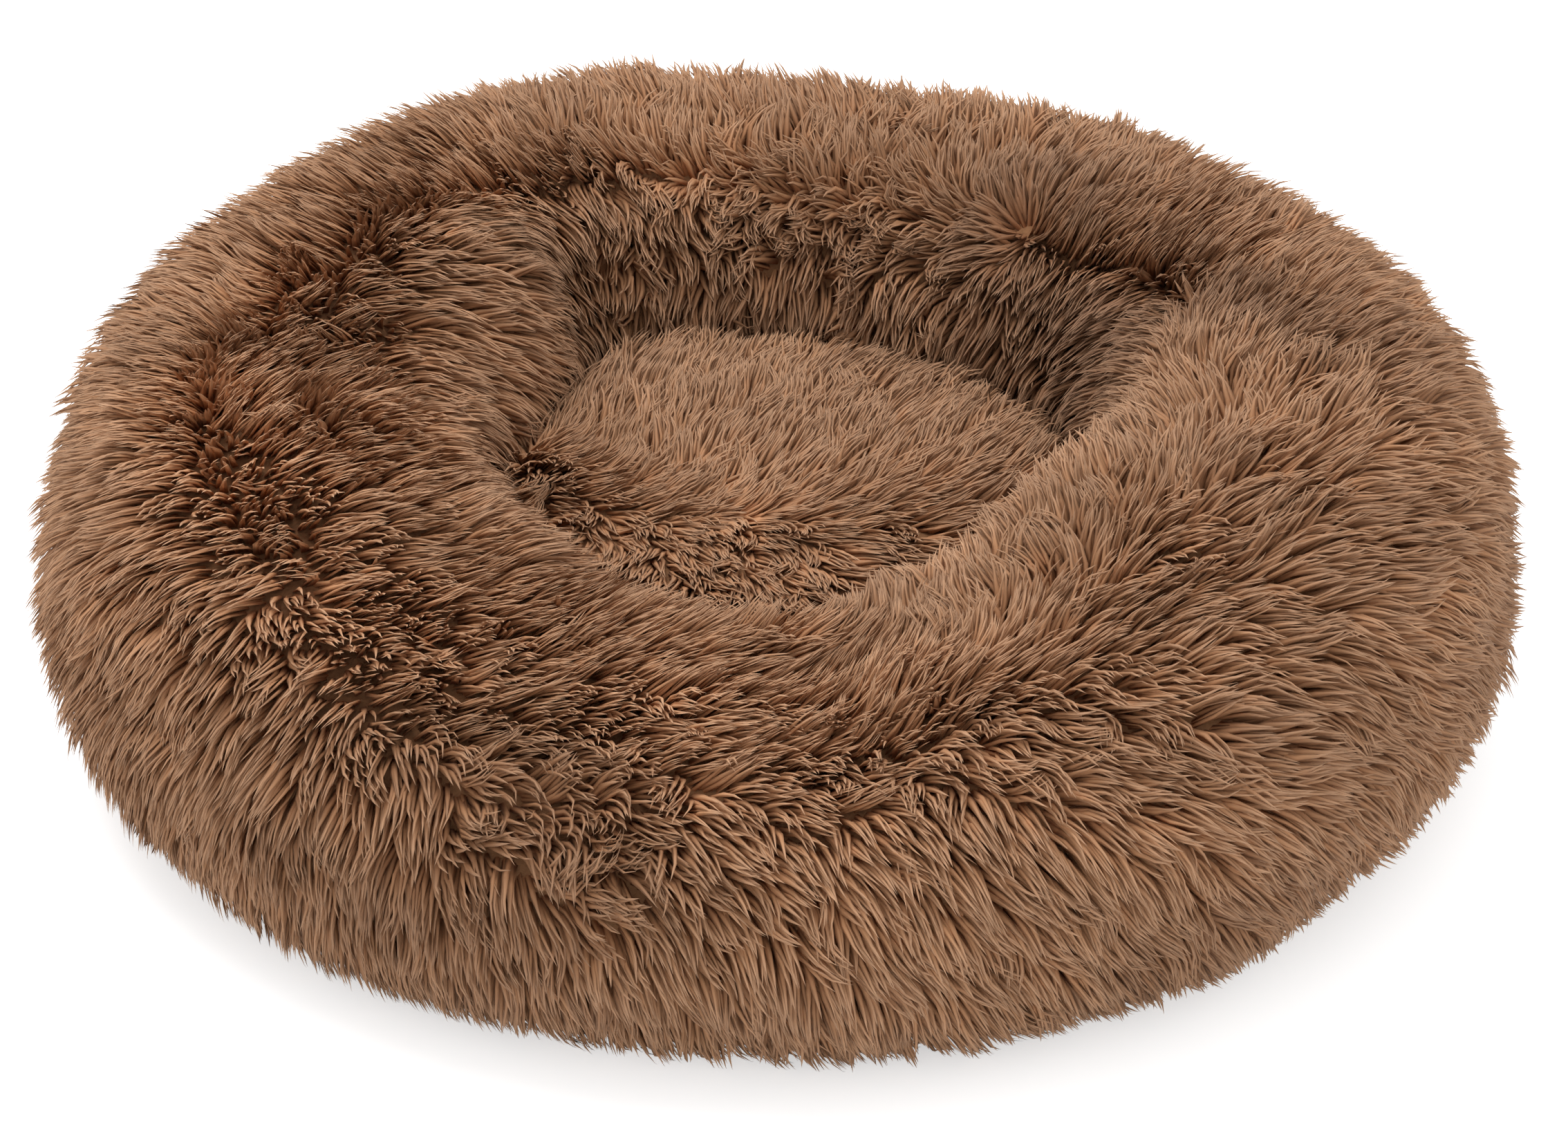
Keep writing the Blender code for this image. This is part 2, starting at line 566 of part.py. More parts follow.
def build_pull(middle, plate_face):
    """A flat tab whose end bar lies in the bail. Its origin is on the bar's axis."""
    bm = bmesh.new()
    bar = PULL_THICKNESS / 2
    half_neck = PULL_NECK_WIDTH / 2
    half_width = PULL_WIDTH / 2
    round_end = PULL_LENGTH - half_width
    outline = [(-bar, -half_neck), (round_end, -half_width)]
    outline += [(round_end + half_width * math.sin(turn), -half_width * math.cos(turn))
                for turn in angles(0, math.pi, math.pi / 6)[1:-1]]
    outline += [(round_end, half_width), (-bar, half_neck)]
    corners = [bm.verts.new((along, across, -bar)) for along, across in outline]
    grown = bmesh.ops.extrude_face_region(bm, geom=[bm.faces.new(corners)])
    lifted = [item for item in grown["geom"] if isinstance(item, bmesh.types.BMVert)]
    bmesh.ops.translate(bm, verts=lifted, vec=Vector((0, 0, PULL_THICKNESS)))
    pull = add_object("zip_pull", bm, METAL, smooth=False)
    eye = bmesh.new()
    bmesh.ops.create_cube(eye, size=1)
    eye_length = BAIL_LENGTH / 2 + PULL_CLEARANCE
    bmesh.ops.scale(eye, verts=eye.verts, vec=Vector((eye_length, BAIL_WIDTH + 2 * PULL_CLEARANCE, BAIL_WIDTH)))
    bmesh.ops.translate(eye, verts=eye.verts, vec=Vector((bar + eye_length / 2, 0, 0)))
    tool = add_object("pull_eye_tool", eye, METAL, smooth=False)
    combine(pull, tool, 'DIFFERENCE')
    hinge = Vector((zip_radius * math.cos(middle), zip_radius * math.sin(middle), plate_face - BAIL_ROOM / 2))
    for piece in (pull, tool):
        piece.location = hinge
        piece.rotation_euler = (0, 0, middle - math.pi / 2)


def build_zip():
    build_tapes()
    build_teeth("zip_teeth_inner", -1)
    build_teeth("zip_teeth_outer", 1)
    row_end = build_stops()
    middle, plate_face = build_slider(row_end)
    build_pull(middle, plate_face)


clear_scene()
build_ring()
build_seat()
build_base()
build_seams()
build_zip()
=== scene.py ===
import math

import bmesh
import bpy
import numpy as np
from mathutils import Matrix, Vector
from mathutils.bvhtree import BVHTree
from mathutils.kdtree import KDTree


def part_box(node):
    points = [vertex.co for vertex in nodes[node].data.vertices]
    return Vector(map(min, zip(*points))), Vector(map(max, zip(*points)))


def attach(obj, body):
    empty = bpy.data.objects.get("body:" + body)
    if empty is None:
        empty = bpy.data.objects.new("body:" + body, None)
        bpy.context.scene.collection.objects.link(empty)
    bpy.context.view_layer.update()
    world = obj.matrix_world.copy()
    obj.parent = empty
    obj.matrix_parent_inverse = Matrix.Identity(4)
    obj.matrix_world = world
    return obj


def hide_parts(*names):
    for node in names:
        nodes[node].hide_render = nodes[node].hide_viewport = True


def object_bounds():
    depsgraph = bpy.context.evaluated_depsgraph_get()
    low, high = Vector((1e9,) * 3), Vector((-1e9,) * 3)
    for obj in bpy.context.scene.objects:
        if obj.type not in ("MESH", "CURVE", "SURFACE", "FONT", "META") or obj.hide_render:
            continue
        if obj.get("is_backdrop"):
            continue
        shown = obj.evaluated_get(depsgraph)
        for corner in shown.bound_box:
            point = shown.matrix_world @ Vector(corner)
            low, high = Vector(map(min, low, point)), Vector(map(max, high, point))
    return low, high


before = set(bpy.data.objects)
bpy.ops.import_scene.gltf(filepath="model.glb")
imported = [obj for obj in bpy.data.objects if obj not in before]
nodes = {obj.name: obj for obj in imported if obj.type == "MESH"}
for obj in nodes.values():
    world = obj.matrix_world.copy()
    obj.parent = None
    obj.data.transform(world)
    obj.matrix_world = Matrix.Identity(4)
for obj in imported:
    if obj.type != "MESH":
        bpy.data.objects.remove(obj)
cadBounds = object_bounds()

scene = bpy.context.scene
scene.view_settings.view_transform = 'Standard'
mergeDistance = 0.000001
print("frame loaded:", len(nodes), "nodes")


def addObject(name, data):
    made = bpy.data.objects.new(name, data)
    scene.collection.objects.link(made)
    return made


def meshFrom(name, bm):
    mesh = bpy.data.meshes.new(name)
    bm.to_mesh(mesh)
    bm.free()
    return mesh


# Shader maths: a Value wraps a socket, and an expression on values adds its nodes

class Value:
    def __init__(self, maker, socket):
        self.maker, self.socket = maker, socket

    def math(self, operation, *others):
        return self.maker.node("ShaderNodeMath", {"operation": operation}, self, *others)

    def split(self):
        parts = self.maker.node("ShaderNodeSeparateXYZ", {}, self).socket.node
        return [Value(self.maker, part) for part in parts.outputs]

    def __add__(self, other):
        return self.math('ADD', other)

    __radd__ = __add__

    def __mul__(self, other):
        return self.math('MULTIPLY', other)

    __rmul__ = __mul__

    def __sub__(self, other):
        return self.math('SUBTRACT', other)

    def __rsub__(self, other):
        return self.maker.node("ShaderNodeMath", {"operation": 'SUBTRACT'}, other, self)


class NodeMaker:
    def __init__(self, tree):
        self.tree = tree

    def put(self, socket, value):
        if isinstance(value, Value):
            self.tree.links.new(value.socket, socket)
        elif socket.type == 'RGBA':
            socket.default_value = (*value, 1)
        else:
            socket.default_value = value

    def node(self, kind, settings, *values, output=0, sockets=None, **named):
        # values fill the sockets in order, and others are given by their number or name
        made = self.tree.nodes.new(kind)
        for key, value in settings.items():
            if key == "stops":
                self.setStops(made.color_ramp, value)
            else:
                setattr(made, key, value)
        for key, value in [*enumerate(values), *(sockets or {}).items(), *named.items()]:
            self.put(made.inputs[key], value)
        return Value(self, made.outputs[output])

    def setStops(self, ramp, stops):
        while len(ramp.elements) < len(stops):
            ramp.elements.new(1)
        for element, (place, colour) in zip(ramp.elements, stops):
            element.position = place
            element.color = (*colour, 1)

    def mix(self, share, first, second, blend='MIX'):
        # the Mix node's sockets for colours are its seventh and eighth
        settings = {"data_type": 'RGBA', "blend_type": blend}
        return self.node("ShaderNodeMix", settings, sockets={0: share, 6: first, 7: second}, output=2)

    def seen(self):
        # 1 where the camera looks, also by way of metal or glass, and 0 for the light on the object
        direct, glossy, through = (self.node("ShaderNodeLightPath", {}, output=f"Is {kind} Ray")
                                   for kind in ("Camera", "Glossy", "Transmission"))
        return direct.math('MAXIMUM', glossy).math('MAXIMUM', through)


class Finish(NodeMaker):
    # a material, whose shader is set by the names of its sockets
    def __init__(self, name, roughness, metallic=0.0):
        self.material = bpy.data.materials.new(name)
        self.material.use_nodes = True
        super().__init__(self.material.node_tree)
        self.set("Roughness", roughness)
        self.set("Metallic", metallic)

    def set(self, socket, value):
        self.put(self.tree.nodes["Principled BSDF"].inputs[socket], value)

    def place(self):
        return self.node("ShaderNodeTexCoord", {}, output="Object")

    def noise(self, vector, scale, detail=2, roughness=0.5):
        return self.node("ShaderNodeTexNoise", {}, Vector=vector, Scale=scale, Detail=detail,
                         Roughness=roughness)

    def relief(self, height, strength, distance):
        bump = self.node("ShaderNodeBump", {}, Strength=strength, Distance=distance, Height=height)
        self.set("Normal", bump)


def mottledFinish(name, plan):
    # a material whose colour and relief, and its roughness where that varies, follow one noise
    finish = Finish(name, plan["roughness"], plan.get("metallic", 0))
    mottle = finish.noise(finish.place(), plan["grains"], plan["detail"], plan.get("grit", 0.5))
    finish.set("Base Color", finish.mix(mottle, plan["dark"], plan["light"]))
    finish.relief(mottle, plan["relief"], plan["reliefHeight"])
    if "roughnessGain" in plan:
        finish.set("Roughness", mottle * plan["roughnessGain"] + plan["roughness"])
    return finish.material


# Camera, at the photograph's angle

imageSize = (2268, 1652)
cameraPlan = {
    "distance": 1.8,            # metres from the aim to the lens
    "elevation": 29.7,          # degrees above the floor
    "roll": 1.0,
    "focalPixels": 6396,        # focal length in pixels of the whole image
    "aim": (0, 0, 0.09),        # a point in the middle of the nest
    "aimPixel": (1117, 705),    # where the image shows it
    "sensor": 36,
}


def offMiddle(pixel):
    # how far right of the image's middle and above it a pixel is, in focal lengths
    across = (pixel[0] - imageSize[0] / 2) / cameraPlan["focalPixels"]
    up = (imageSize[1] / 2 - pixel[1]) / cameraPlan["focalPixels"]
    return across, up


def buildCamera(plan):
    data = bpy.data.cameras.new("camera")
    camera = addObject("camera", data)
    data.sensor_width = plan["sensor"]
    data.lens = plan["focalPixels"] / imageSize[0] * plan["sensor"]
    elevation = math.radians(plan["elevation"])
    away = Vector((0, -math.cos(elevation), math.sin(elevation)))
    right, above = offMiddle(plan["aimPixel"])
    turn = (Matrix.Rotation(right, 4, 'Z') @ Matrix.Rotation(math.pi / 2 - elevation - above, 4, 'X')
            @ Matrix.Rotation(math.radians(plan["roll"]), 4, 'Z'))
    camera.matrix_world = Matrix.Translation(Vector(plan["aim"]) + away * plan["distance"]) @ turn
    scene.camera = camera
    return camera


def pixelRay(camera, pixel):
    # from the lens through a pixel of the 2268 x 1652 image
    matrix = camera.matrix_world
    return matrix.translation, (matrix.to_3x3() @ Vector((*offMiddle(pixel), -1))).normalized()


camera = buildCamera(cameraPlan)
bpy.context.view_layer.update()
print("camera set")


# Light and floor

studioPlan = {
    "floorSize": 12,
    "floorColour": (0.9, 0.9, 0.9),
    "floorLift": 0.54,          # glow of the floor towards the camera
    "worldStrength": 0.94,
    "lampSize": 1.6,
    "lampPlace": (-0.5, 0.3, 2.0),
    "lampPower": 21,
}


def lightWorld(plan):
    world = bpy.data.worlds.new("studio")
    scene.world = world
    world.use_nodes = True
    maker = NodeMaker(world.node_tree)
    background = world.node_tree.nodes["Background"]
    maker.put(background.inputs["Color"], (1, 1, 1))
    strength = plan["worldStrength"]
    maker.put(background.inputs["Strength"], maker.seen() * (1 - strength) + strength)


def layFloor(plan):
    bm = bmesh.new()
    bmesh.ops.create_grid(bm, x_segments=1, y_segments=1, size=plan["floorSize"] / 2)
    floor = addObject("floor", meshFrom("floor", bm))
    paper = Finish("floorPaper", 1)
    paper.set("Base Color", plan["floorColour"])
    paper.set("Specular IOR Level", 0)
    paper.set("Emission Color", paper.seen() * plan["floorLift"])
    paper.set("Emission Strength", 1)
    floor.data.materials.append(paper.material)
    floor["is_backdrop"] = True


def hangLamp(plan):
    data = bpy.data.lights.new("softbox", 'AREA')
    data.shape = 'DISK'
    data.size = plan["lampSize"]
    data.energy = plan["lampPower"]
    lamp = addObject("softbox", data)
    lamp.location = Vector(plan["lampPlace"])
    lamp.rotation_euler = (Vector(cameraPlan["aim"]) - lamp.location).to_track_quat('-Z', 'Y').to_euler()


lightWorld(studioPlan)
layFloor(studioPlan)
hangLamp(studioPlan)
print("studio lit")


# Pelts: grids of points on a soft form, from which the pile grows

def seededRandom(seed):
    return np.random.default_rng(seed)


def solidTree(*names):
    # the named solids as one tree that rays can hit
    corners, faces = [], []
    for name in names:
        mesh = nodes[name].data
        mesh.calc_loop_triangles()
        first = len(corners)
        corners += [vertex.co.copy() for vertex in mesh.vertices]
        faces += [tuple(first + corner for corner in face.vertices) for face in mesh.loop_triangles]
    return BVHTree.FromPolygons(corners, faces)


def unit(vectors):
    return vectors / np.maximum(np.linalg.norm(vectors, axis=-1, keepdims=True), 1e-9)


def blurGrid(grid, passes, wrapAlong, wrapAcross=False):
    # soften a grid by averaging each point with its neighbours
    for axis, wrap in ((0, wrapAlong), (1, wrapAcross)):
        for _ in range(passes):
            before, after = np.roll(grid, 1, axis), np.roll(grid, -1, axis)
            if not wrap:
                ends = [slice(None)] * grid.ndim
                ends[axis] = 0
                before[tuple(ends)] = grid[tuple(ends)]
                ends[axis] = -1
                after[tuple(ends)] = grid[tuple(ends)]
            grid = grid * 0.5 + (before + after) * 0.25
    return grid


def between(grid, rows, columns, up, right):
    # values between four neighbours of a grid
    (low, high), (left, beside) = rows, columns
    return ((grid[low, left] * (1 - up) + grid[high, left] * up) * (1 - right)
            + (grid[low, beside] * (1 - up) + grid[high, beside] * up) * right)


class Pelt:
    # a grid of points with its outward normals and two directions, read at any place between the points
    def __init__(self, points, wraps):
        self.wraps = wraps
        self.setPoints(points)

    def setPoints(self, points):
        self.points = points
        if self.wraps:
            along = (np.roll(points, -1, 0) - np.roll(points, 1, 0)) / 2
        else:
            along = np.gradient(points, axis=0)
        across = np.gradient(points, axis=1)
        self.along, self.across = along, across
        self.normals = unit(np.cross(along, across))

    def read(self, grid, place):
        rows, columns = grid.shape[:2]
        i, j = place[:, 0], np.clip(place[:, 1], 0, columns - 1.001)
        if not self.wraps:
            i = np.clip(i, 0, rows - 1.001)
        low, left = np.floor(i).astype(int), np.floor(j).astype(int)
        up, right = (i - low)[:, None], (j - left)[:, None]
        low, high = (low % rows, (low + 1) % rows) if self.wraps else (low, low + 1)
        values = grid if grid.ndim == 3 else grid[..., None]
        found = between(values, (low, high), (left, left + 1), up, right)
        return found if grid.ndim == 3 else found[:, 0]

    def at(self, place):
        # a point of the surface, or past its rim straight on
        columns = self.points.shape[1]
        past = place[:, 1] - np.clip(place[:, 1], 0, columns - 1.001)
        return self.read(self.points, place) + self.read(self.across, place) * past[:, None]

    def step(self, place, direction, length, farthest=6):
        # move a place on the grid by a length of the surface
        along, across = self.read(self.along, place), self.read(self.across, place)
        aa, bb, ab = (along * along).sum(1), (across * across).sum(1), (along * across).sum(1)
        da, db = (direction * along).sum(1), (direction * across).sum(1)
        room = np.maximum(aa * bb - ab * ab, 1e-16)
        move = np.stack([(da * bb - db * ab) / room, (db * aa - da * ab) / room], 1)
        return place + np.clip(move * length[:, None], -farthest, farthest)

    def noise(self, random, cells, passes=2):
        # smooth random values over the grid, about -1 to 1
        rows, columns = self.points.shape[:2]
        coarse = random.normal(size=cells)
        share = np.arange(rows)[:, None] / (rows if self.wraps else rows - 1)
        i = share * (cells[0] if self.wraps else cells[0] - 1)
        j = np.arange(columns)[None] / (columns - 1) * (cells[1] - 1)
        low, left = np.floor(i).astype(int), np.minimum(np.floor(j).astype(int), cells[1] - 2)
        up, right = i - low, j - left
        up, right = up * up * (3 - 2 * up), right * right * (3 - 2 * right)
        high = (low + 1) % cells[0] if self.wraps else np.minimum(low + 1, cells[0] - 1)
        value = between(coarse, (low % cells[0], high), (left, left + 1), up, right)
        return blurGrid(value, passes, self.wraps)


# Ring: its outer form, and the backing that lies under the pile

ringPlan = {
    "azimuths": 216,
    "section": 108,
    "firstAngle": -54,          # degrees, from the outer foot over the crest ...
    "lastAngle": 196,           # ... to the crease against the seat
    "smoothing": 5,             # passes that even out the solid's facets
    "backingDepth": 0.0080,     # of the backing under the pile's tips
    "lumpHeight": 0.0022,
    "lumpCells": (34, 13),
    "lumpSeed": 11,
    "edge": 12,                 # points of the section over which the lumps fade out at its ends
    "underHeight": 0.0120,      # of the backing's underside
    "underSteps": 12,
}

# spots of the ring and the seat that swell or sink: pixel, height and radius in metres
ringSpots = [
    (690, 400, 0.010, 0.034), (620, 330, 0.004, 0.040), (845, 425, -0.008, 0.028),
    (1680, 540, 0.005, 0.035), (1490, 430, -0.004, 0.026), (1560, 520, -0.006, 0.032),
    (1560, 300, 0.003, 0.035), (350, 450, -0.003, 0.018), (900, 1190, -0.003, 0.020),
    (1330, 1040, -0.003, 0.018), (960, 150, 0.001, 0.060), (400, 800, 0.002, 0.050),
    (1000, 980, 0.002, 0.050),
]
seatSpots = [
    (770, 690, 0.010, 0.030), (870, 640, -0.006, 0.018), (1010, 600, 0.003, 0.050),
]


def tubeCentre():
    points = np.array([vertex.co for vertex in nodes["ring_filling"].data.vertices])
    radii = np.hypot(points[:, 0], points[:, 1])
    return (radii.min() + radii.max()) / 2, (points[:, 2].min() + points[:, 2].max()) / 2


def castSection(tree, azimuth, turns, centre, reach=0.2):
    # the solid's outer side, met by rays that run from outside to the middle of the tube
    out = Vector((math.cos(azimuth), math.sin(azimuth), 0))
    middle = out * centre[0] + Vector((0, 0, centre[1]))
    ways = [out * math.cos(turn) + Vector((0, 0, math.sin(turn))) for turn in turns]
    found = [tree.ray_cast(middle + way * reach, -way, reach)[0] for way in ways]
    for index in reversed(range(len(found) - 1)):
        if found[index] is None:
            found[index] = found[index + 1]
    return found


def swell(pelt, spots, lumps=0.0, deepest=0.0065):
    # push the form out or in round each spot that the image shows, and by lumps, but not into the lining
    heights = np.zeros(pelt.points.shape[:2]) + lumps
    for near, height in spotReach(pelt, spots):
        heights = heights + height * near
    pelt.setPoints(pelt.points + pelt.normals * np.maximum(heights, -deepest)[..., None])


def spotReach(pelt, spots):
    # how near the grid's points are to each spot, from 0 to 1, with the spot's value
    for x, y, value, radius in spots:
        centre = pelt.seen((x, y))
        if centre is not None:
            distance = np.linalg.norm(pelt.points - centre, axis=2)
            yield np.exp(-(distance / radius) ** 2), value


def addSight(pelt):
    # lets pixels of the image be found on a pelt
    rows, columns = pelt.points.shape[:2]
    corners = [Vector(p) for p in pelt.points.reshape(-1, 3)]
    last = rows if pelt.wraps else rows - 1
    starts = [(i * columns + j, (i + 1) % rows * columns + j)
              for i in range(last) for j in range(columns - 1)]
    tree = BVHTree.FromPolygons(corners, [(here, after, after + 1, here + 1) for here, after in starts])

    def seen(pixel):
        hit = tree.ray_cast(*pixelRay(camera, pixel))[0]
        return None if hit is None else np.array(hit)

    pelt.seen = seen
    return pelt


def buildRingPelt(plan):
    tree = solidTree("ring_cover")
    centre = tubeCentre()
    turns = np.radians(np.linspace(plan["firstAngle"], plan["lastAngle"], plan["section"]))
    azimuths = np.arange(plan["azimuths"]) * math.tau / plan["azimuths"]
    points = np.array([castSection(tree, azimuth, turns, centre) for azimuth in azimuths], float)
    pelt = Pelt(blurGrid(points, plan["smoothing"], True), True)
    addSight(pelt)
    lumps = pelt.noise(seededRandom(plan["lumpSeed"]), plan["lumpCells"], 4) * plan["lumpHeight"]
    place = np.arange(plan["section"])
    edge = np.minimum(place, place[::-1]) / plan["edge"]
    swell(pelt, ringSpots, lumps * np.minimum(edge, 1))
    return pelt


def insetPelt(pelt, depth):
    inner = Pelt(pelt.points - pelt.normals * depth, pelt.wraps)
    inner.setPoints(blurGrid(inner.points, 2, pelt.wraps))
    return inner


ringTips = buildRingPelt(ringPlan)
ringSkin = insetPelt(ringTips, ringPlan["backingDepth"])
addSight(ringSkin)
print("ring form read from the frame")


# Seat: a crowned cushion, read from above

seatPlan = {
    "steps": 96,
    "smoothing": 3,
    "rimInset": 0.004,          # from the rim, where the solid's height is last read
    "backingDepth": 0.009,
    "rootInset": 0.012,         # of the backing and the outermost roots, from the solid's rim
    "azimuths": 96,             # of its backing
    "rings": 20,
    "sideSteps": 6,
    "sideTaper": 0.12,
    "underShares": (0.7, 0.4, 0.0),
    "footHeight": 0.010,
}


def seatRadius():
    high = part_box("seat_cover")[1]
    return min(high.x, high.y)


def buildSeatPelt(plan):
    tree = solidTree("seat_cover")
    half = seatRadius()
    places = np.linspace(-half, half, plan["steps"])
    points = np.zeros((plan["steps"], plan["steps"], 3))
    for i, x in enumerate(places):
        for j, y in enumerate(places):
            radius = math.hypot(x, y)
            shrink = min(1, (half - plan["rimInset"]) / radius) if radius else 1
            hit = tree.ray_cast(Vector((x * shrink, y * shrink, 1)), Vector((0, 0, -1)))[0]
            points[i, j] = (x, y, hit.z if hit is not None else 0)
    pelt = Pelt(blurGrid(points, plan["smoothing"], False), False)
    addSight(pelt)
    swell(pelt, seatSpots)
    return pelt


seatTips = buildSeatPelt(seatPlan)
seatSkin = insetPelt(seatTips, seatPlan["backingDepth"])
addSight(seatSkin)
print("seat form read from the frame")


# Combing: which way the pile lies. Strokes run from root to tip, in pixels of the image

ringStrokes = [
    # back, top edge
    (700, 170, 640, 150), (850, 190, 855, 110), (960, 210, 950, 110), (1060, 220, 1060, 120),
    (1160, 230, 1160, 130), (1300, 240, 1330, 150), (1480, 250, 1500, 160), (1620, 250, 1700, 210),
    # back, inner wall
    (820, 300, 800, 360), (900, 290, 900, 370), (1000, 300, 1010, 380), (1100, 300, 1090, 390),
    (1200, 330, 1200, 420), (1340, 400, 1330, 490), (1440, 440, 1410, 520), (1450, 320, 1330, 335),
    (870, 430, 850, 480), (980, 430, 990, 500),
    # left shoulder and its lobe
    (560, 230, 460, 250), (470, 300, 360, 320), (400, 400, 280, 420), (600, 350, 720, 390),
    (640, 410, 760, 430), (600, 460, 700, 500), (560, 560, 680, 640), (640, 520, 760, 600),
    (300, 480, 210, 500), (240, 560, 160, 600), (330, 545, 420, 560), (350, 610, 380, 680),
    (450, 620, 480, 690), (530, 330, 545, 395), (490, 410, 510, 475), (430, 545, 515, 580),
    (470, 480, 545, 530),
    # left front rim
    (400, 690, 500, 705), (325, 860, 318, 940), (480, 860, 500, 940), (590, 890, 630, 960),
    (420, 720, 530, 760), (560, 740, 690, 775), (700, 800, 820, 835), (200, 680, 130, 740),
    (180, 800, 130, 880), (300, 800, 270, 890), (420, 820, 470, 900), (560, 850, 640, 910),
    (380, 700, 440, 790), (500, 790, 590, 860), (640, 860, 740, 920), (280, 700, 240, 790),
    # front left wall
    (150, 940, 140, 1030), (260, 960, 240, 1060), (400, 960, 380, 1060), (520, 950, 490, 1050),
    (640, 940, 690, 1030), (330, 1120, 320, 1200), (470, 1140, 460, 1230), (600, 1150, 620, 1230),
    (420, 1260, 420, 1340), (560, 1300, 560, 1390), (720, 1340, 740, 1430),
    (720, 1150, 790, 1180), (820, 1200, 920, 1230), (900, 1270, 980, 1320), (760, 1260, 850, 1290),
    # front crest
    (760, 900, 880, 930), (900, 940, 1020, 970), (1060, 950, 1180, 960), (1190, 910, 1270, 870),
    (840, 970, 940, 1030), (1000, 990, 1100, 1040), (1140, 990, 1240, 1030),
    # front wall
    (800, 1020, 890, 1080), (960, 1040, 1050, 1110), (1100, 1040, 1180, 1110), (1000, 1180, 1060, 1260),
    (1120, 1200, 1180, 1290), (1260, 1120, 1310, 1210), (1400, 1120, 1460, 1200), (1560, 1080, 1640, 1140),
    (1240, 1300, 1290, 1390), (1400, 1300, 1450, 1390), (1560, 1260, 1620, 1340), (900, 1380, 930, 1470),
    (1060, 1380, 1090, 1470), (1700, 1220, 1770, 1290), (1830, 1180, 1900, 1250), (1960, 1100, 2030, 1170),
    # right front
    (1400, 960, 1300, 900), (1440, 900, 1440, 810), (1500, 940, 1610, 960), (1640, 900, 1760, 900),
    (1760, 980, 1880, 980), (1900, 930, 2030, 900), (1720, 1090, 1850, 1110), (1900, 1040, 2030, 1030),
    (2080, 960, 2160, 990),
    # right shoulder
    (1600, 760, 1570, 690), (1680, 700, 1640, 630), (1760, 640, 1720, 570), (1450, 430, 1450, 510),
    (1500, 480, 1500, 550), (1560, 500, 1570, 580), (1350, 420, 1340, 500), (1500, 330, 1600, 310),
    (1720, 820, 1820, 860), (1850, 700, 1950, 720), (1980, 720, 2100, 740), (1960, 600, 2080, 600),
    (2050, 820, 2150, 830), (1800, 500, 1900, 520), (1930, 460, 2040, 470), (1700, 380, 1800, 400),
    (1830, 360, 1950, 390), (1720, 290, 1830, 290), (1660, 460, 1620, 540), (1660, 560, 1610, 630),
    (1620, 330, 1700, 330),
]
seatStrokes = [
    (900, 720, 960, 640), (1000, 700, 1070, 610), (1100, 620, 1160, 540), (1180, 720, 1270, 660),
    (1300, 640, 1400, 600), (1300, 560, 1380, 530), (1420, 700, 1530, 660), (1000, 600, 1050, 520),
    (880, 580, 920, 540), (760, 620, 760, 700), (790, 690, 860, 750), (860, 800, 850, 860),
    (950, 780, 940, 850), (1050, 780, 1040, 860), (1150, 800, 1150, 870), (1280, 740, 1320, 790),
]
# where the pile is tousled: pixel, share, radius in metres
tousledSpots = [
    (350, 450, 0.6, 0.020), (500, 470, 0.6, 0.020), (230, 580, 0.4, 0.018), (370, 617, 0.5, 0.018),
    (500, 520, 0.5, 0.025), (464, 818, 0.5, 0.018), (1780, 450, 0.4, 0.030), (1830, 700, 0.4, 0.022),
    (1250, 1050, 0.7, 0.018), (1330, 1070, 0.7, 0.018), (1380, 930, 0.6, 0.020), (700, 1200, 0.4, 0.025),
    (830, 1240, 0.7, 0.022), (920, 1160, 0.6, 0.020), (780, 1130, 0.5, 0.024), (560, 980, 0.5, 0.020),
    (900, 220, 0.5, 0.035), (1150, 260, 0.6, 0.035), (700, 230, 0.4, 0.030), (1300, 320, 0.7, 0.035),
    (900, 380, 0.7, 0.035), (1050, 420, 0.7, 0.035), (1250, 440, 0.7, 0.035), (1450, 500, 0.6, 0.030),
    (650, 640, 0.5, 0.022), (780, 720, 0.6, 0.020), (1600, 1080, 0.3, 0.030), (1750, 800, 0.4, 0.025),
    (1650, 330, 0.4, 0.030), (1600, 760, 0.5, 0.028), (1500, 860, 0.4, 0.025), (1700, 640, 0.5, 0.030),
    (1900, 560, 0.4, 0.030), (450, 330, 0.4, 0.030), (2050, 850, 0.3, 0.030), (600, 190, 0.4, 0.035),
    (1000, 170, 0.5, 0.035), (1250, 190, 0.6, 0.035), (1500, 230, 0.5, 0.035), (1800, 330, 0.4, 0.035),
]
# painted shade and painted light: where the pile's colour is made darker or lighter in place of shade and
# light: pixel, tone, radius
shadeAndLightSpots = [
    (1450, 350, -0.28, 0.050), (1200, 330, -0.12, 0.050), (1560, 530, -0.40, 0.045), (850, 300, -0.04, 0.040),
    (1640, 460, -0.36, 0.035), (1790, 480, -0.34, 0.032), (1130, 470, -0.24, 0.035), (970, 470, -0.30, 0.030),
    (900, 1060, 0.20, 0.050), (1180, 1060, 0.20, 0.050), (1450, 1020, 0.10, 0.045), (324, 590, 0.36, 0.028),
    (1000, 236, 0.12, 0.030), (320, 710, 0.24, 0.030), (480, 830, 0.16, 0.035), (520, 940, 0.28, 0.035),
    (440, 1070, -0.20, 0.040), (700, 1200, -0.26, 0.045), (810, 1290, -0.16, 0.035), (648, 354, -0.20, 0.028),
    (1310, 840, -0.16, 0.028), (162, 354, -0.10, 0.040), (486, 590, 0.14, 0.025), (400, 680, 0.26, 0.035),
    (390, 420, 0.22, 0.028), (560, 930, 0.20, 0.035), (860, 1000, 0.20, 0.035), (1180, 1130, 0.14, 0.030),
    (1680, 520, -0.26, 0.032), (1850, 520, -0.16, 0.030), (1690, 380, 0.20, 0.028), (1830, 760, -0.14, 0.030),
]
# painted light: where the seat's pile is lightened against its shade: pixel, tone, radius
seatPaintedLightSpots = [
    (880, 700, 0.10, 0.028), (1050, 730, 0.06, 0.028), (1300, 900, 0.18, 0.030),
]
